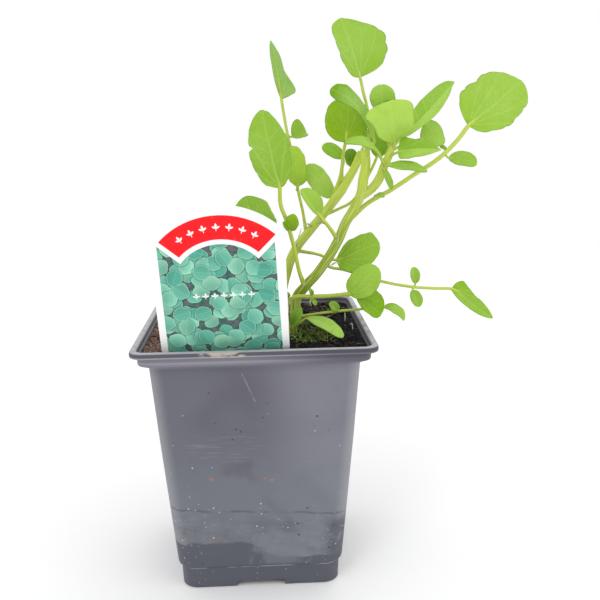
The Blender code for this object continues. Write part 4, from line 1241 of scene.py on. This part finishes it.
def printed_leaves(finish, x, y):
    """A generic print of round pointed leaves over dark gaps, in layers."""
    dark = finish.noise(0.5, 3.0, finish.vector(x, y)).step(0.4, 0.62)
    colour = finish.mix(dark, (0.03, 0.12, 0.09), (0.13, 0.12, 0.145))
    for layer, (scale, size) in enumerate(PRINT_LAYERS):
        shift = finish.vector(x + 31.0 * layer, y - 17.0 * layer)
        tint = finish.node("TexVoronoi", {"voronoi_dimensions": "2D"},
                           {"Vector": shift, "Scale": scale}, "Color")
        random_tint, spin, _ = finish.parts(tint)
        off = finish.vector_maths("SUBTRACT", {0: shift, 1: tint.other("Position")})
        turned = finish.node("VectorRotate", {"rotation_type": "Z_AXIS"},
                             {"Vector": finish.vector_maths("SCALE", {0: off, "Scale": scale}),
                              "Angle": spin * math.tau})
        along, across, _ = finish.parts(turned)
        far = (along / (size * 1.15)) ** 2.0 + abs(across / size) ** 1.5
        far = far + 0.6 * (finish.noise(0.45, 2.0, shift) - 0.5)
        inside = far.fade(0.94, 1.03)
        leaf = finish.coats(
            (0.08, 0.37, 0.26),
            (random_tint, (0.30, 0.68, 0.49)),
            (spin.step(0.6, 0.9) * 0.6, (0.30, 0.55, 0.36)),
            (far.fade(0.0, 0.7, 0.35), (0.08, 0.40, 0.34)),
            ((across / size).fade(-0.9, 0.6, 0.5), (0.05, 0.26, 0.20)),
            (far.step(0.8, 0.97) * 0.55, (0.42, 0.78, 0.60)),
            (abs(across).fade(0.0, 0.015, 0.4), (0.40, 0.74, 0.58)),
        )
        shadow = far.fade(1.0, 1.4, 0.55) * (1.0 - inside)
        colour = finish.coats(colour, (shadow, (0.025, 0.08, 0.07)), (inside, leaf))
    return colour


def label_finish():
    """White plastic with a red arched band above a printed leaf pattern, under a clear gloss."""
    finish = Finish("label_print", Coat_Weight=0.08, Coat_Roughness=0.2, Specular_IOR_Level=0.2)
    values = {"Vector": finish.place, "Location": Vector((LABEL_MIDDLE, LABEL_FRONT_AT_RIM, RIM_TOP)) * MM,
              "Rotation": label_place().to_euler()}
    flat = finish.node("Mapping", {"vector_type": "TEXTURE"}, values)
    x, through, y = [part * 1000.0 for part in finish.parts(flat)]
    band_x, band_y = x - BAND_MIDDLE[0], y - BAND_MIDDLE[1]
    far = (band_x * band_x + band_y * band_y) ** 0.5
    angle = band_x.maths("ARCTAN2", band_x, band_y) + BAND_TURN
    beyond = (abs(angle) - BAND_SPREAD).larger(0.0).smaller(math.pi / 2)
    band = far.fade(BAND_OUTER, BAND_OUTER + 0.25) * far.step(BAND_INNER, BAND_INNER + 0.25)
    band = band * beyond.fade(0.0, 0.01)
    border = far.step(BAND_INNER - BAND_BORDER, BAND_INNER - BAND_BORDER + 0.2)
    border = border * (far * beyond.maths("SINE", beyond)).fade(BAND_BORDER - 0.1, BAND_BORDER + 0.1)
    picture = (x - 0.01 * y).step(-20.8, -20.6) * (x + 0.026 * y).fade(20.5, 20.7) * (1.0 - border)
    band_signs = sprig(repeated(angle * 23.0, 4.4), far - SIGN_ARC) * abs(angle).fade(0.66, 0.67)
    row_x, row_y = x - SIGN_ROW[0], y - SIGN_ROW[1]
    row = row_y.band(0.0, 1.6, 0.1) * row_x.band(0.0, 11.1, 0.1)
    row_signs = sprig(repeated(row_x, 3.2), row_y * 1.15) * row
    soil = (y + finish.noise(240.0) * 3.0).fade(-1.5, 1.0, 0.8)
    colour = finish.coats(
        (0.90, 0.91, 0.90),
        (picture, printed_leaves(finish, x, y)),
        (band, (0.88, 0.005, 0.010)),
        (band_signs * band, (0.90, 0.88, 0.86)),
        (row_signs * picture * 0.9, (0.86, 0.90, 0.88)),
        (through.step(0.2, 0.4), (0.80, 0.80, 0.78)),
        (soil, (0.10, 0.075, 0.05)),
        (finish.noise(500.0, 4.0).step(0.62, 0.72) * 0.08, (0.55, 0.53, 0.50)),
    )
    finish.feed(Base_Color=colour, Roughness=0.34 + 0.12 * finish.noise(180.0) + 0.3 * soil)
    finish.bump(finish.noise(160.0, 2.0) + 0.2 * finish.noise(1600.0), 0.03)
    return finish


def add_light(name, place, size, power):
    lamp = bpy.data.lights.new(name, "AREA")
    lamp.shape = "DISK"
    lamp.size = size
    lamp.energy = power
    light = bpy.data.objects.new(name, lamp)
    light.location = Vector(place)
    light.rotation_euler = (Vector(LIT_MIDDLE) - Vector(place)).to_track_quat("-Z", "Y").to_euler()
    bpy.context.scene.collection.objects.link(light)


def make_studio():
    """A pale floor, soft lights round it, and the camera."""
    bm = bmesh.new()
    bmesh.ops.create_grid(bm, x_segments=2, y_segments=2, size=FLOOR_HALF)
    move(bm, 0, 0, -FLOOR_DROP)
    floor = add_object("floor", bm)
    finish = Finish("pale_floor")
    finish.feed(Base_Color=(0.93, 0.93, 0.93, 1.0), Roughness=0.9)
    floor.data.materials.append(finish.made)

    world = bpy.data.worlds.new("studio")
    world.use_nodes = True
    background = world.node_tree.nodes["Background"]
    background.inputs["Color"].default_value = (1.0, 1.0, 1.0, 1.0)
    background.inputs["Strength"].default_value = 1.0
    bpy.context.scene.world = world
    bpy.context.scene.view_settings.view_transform = "Standard"
    for name, place, size, power in LIGHTS:
        add_light(name, place, size, power)

    camera = bpy.data.objects.new("camera", bpy.data.cameras.new("camera"))
    camera.data.lens = LENS
    camera.data.sensor_width = 36.0
    camera.data.clip_start = 0.01
    camera.data.clip_end = 20.0
    turn = Matrix.Rotation(CAMERA_YAW, 4, "Z") @ Matrix.Rotation(math.pi / 2 - CAMERA_PITCH, 4, "X")
    turn = turn @ Matrix.Rotation(CAMERA_ROLL, 4, "Z")
    camera.matrix_world = Matrix.Translation(Vector(CAMERA_PLACE) * MM) @ turn
    bpy.context.scene.collection.objects.link(camera)
    bpy.context.scene.camera = camera


LEAF_TOP = leaf_top_finish()
LEAF_UNDER = leaf_under_finish()
STEM = stem_finish()
ROOTLET = root_finish()

make_studio()
make_pot()
make_compost()
make_label()
make_leafy("main_stem", (MAIN_STEM, MAIN_FORK), MAIN_LEAVES, MAIN_ROOTLETS)
make_leafy("second_stem", (SECOND_STEM,), SECOND_LEAVES, SECOND_ROOTLETS)
make_leafy("side_shoot", (SIDE_SHOOT,), SIDE_LEAVES, SIDE_ROOTLETS)
make_leafy("back_leaf", (BACK_STEM,), BACK_LEAVES, ())
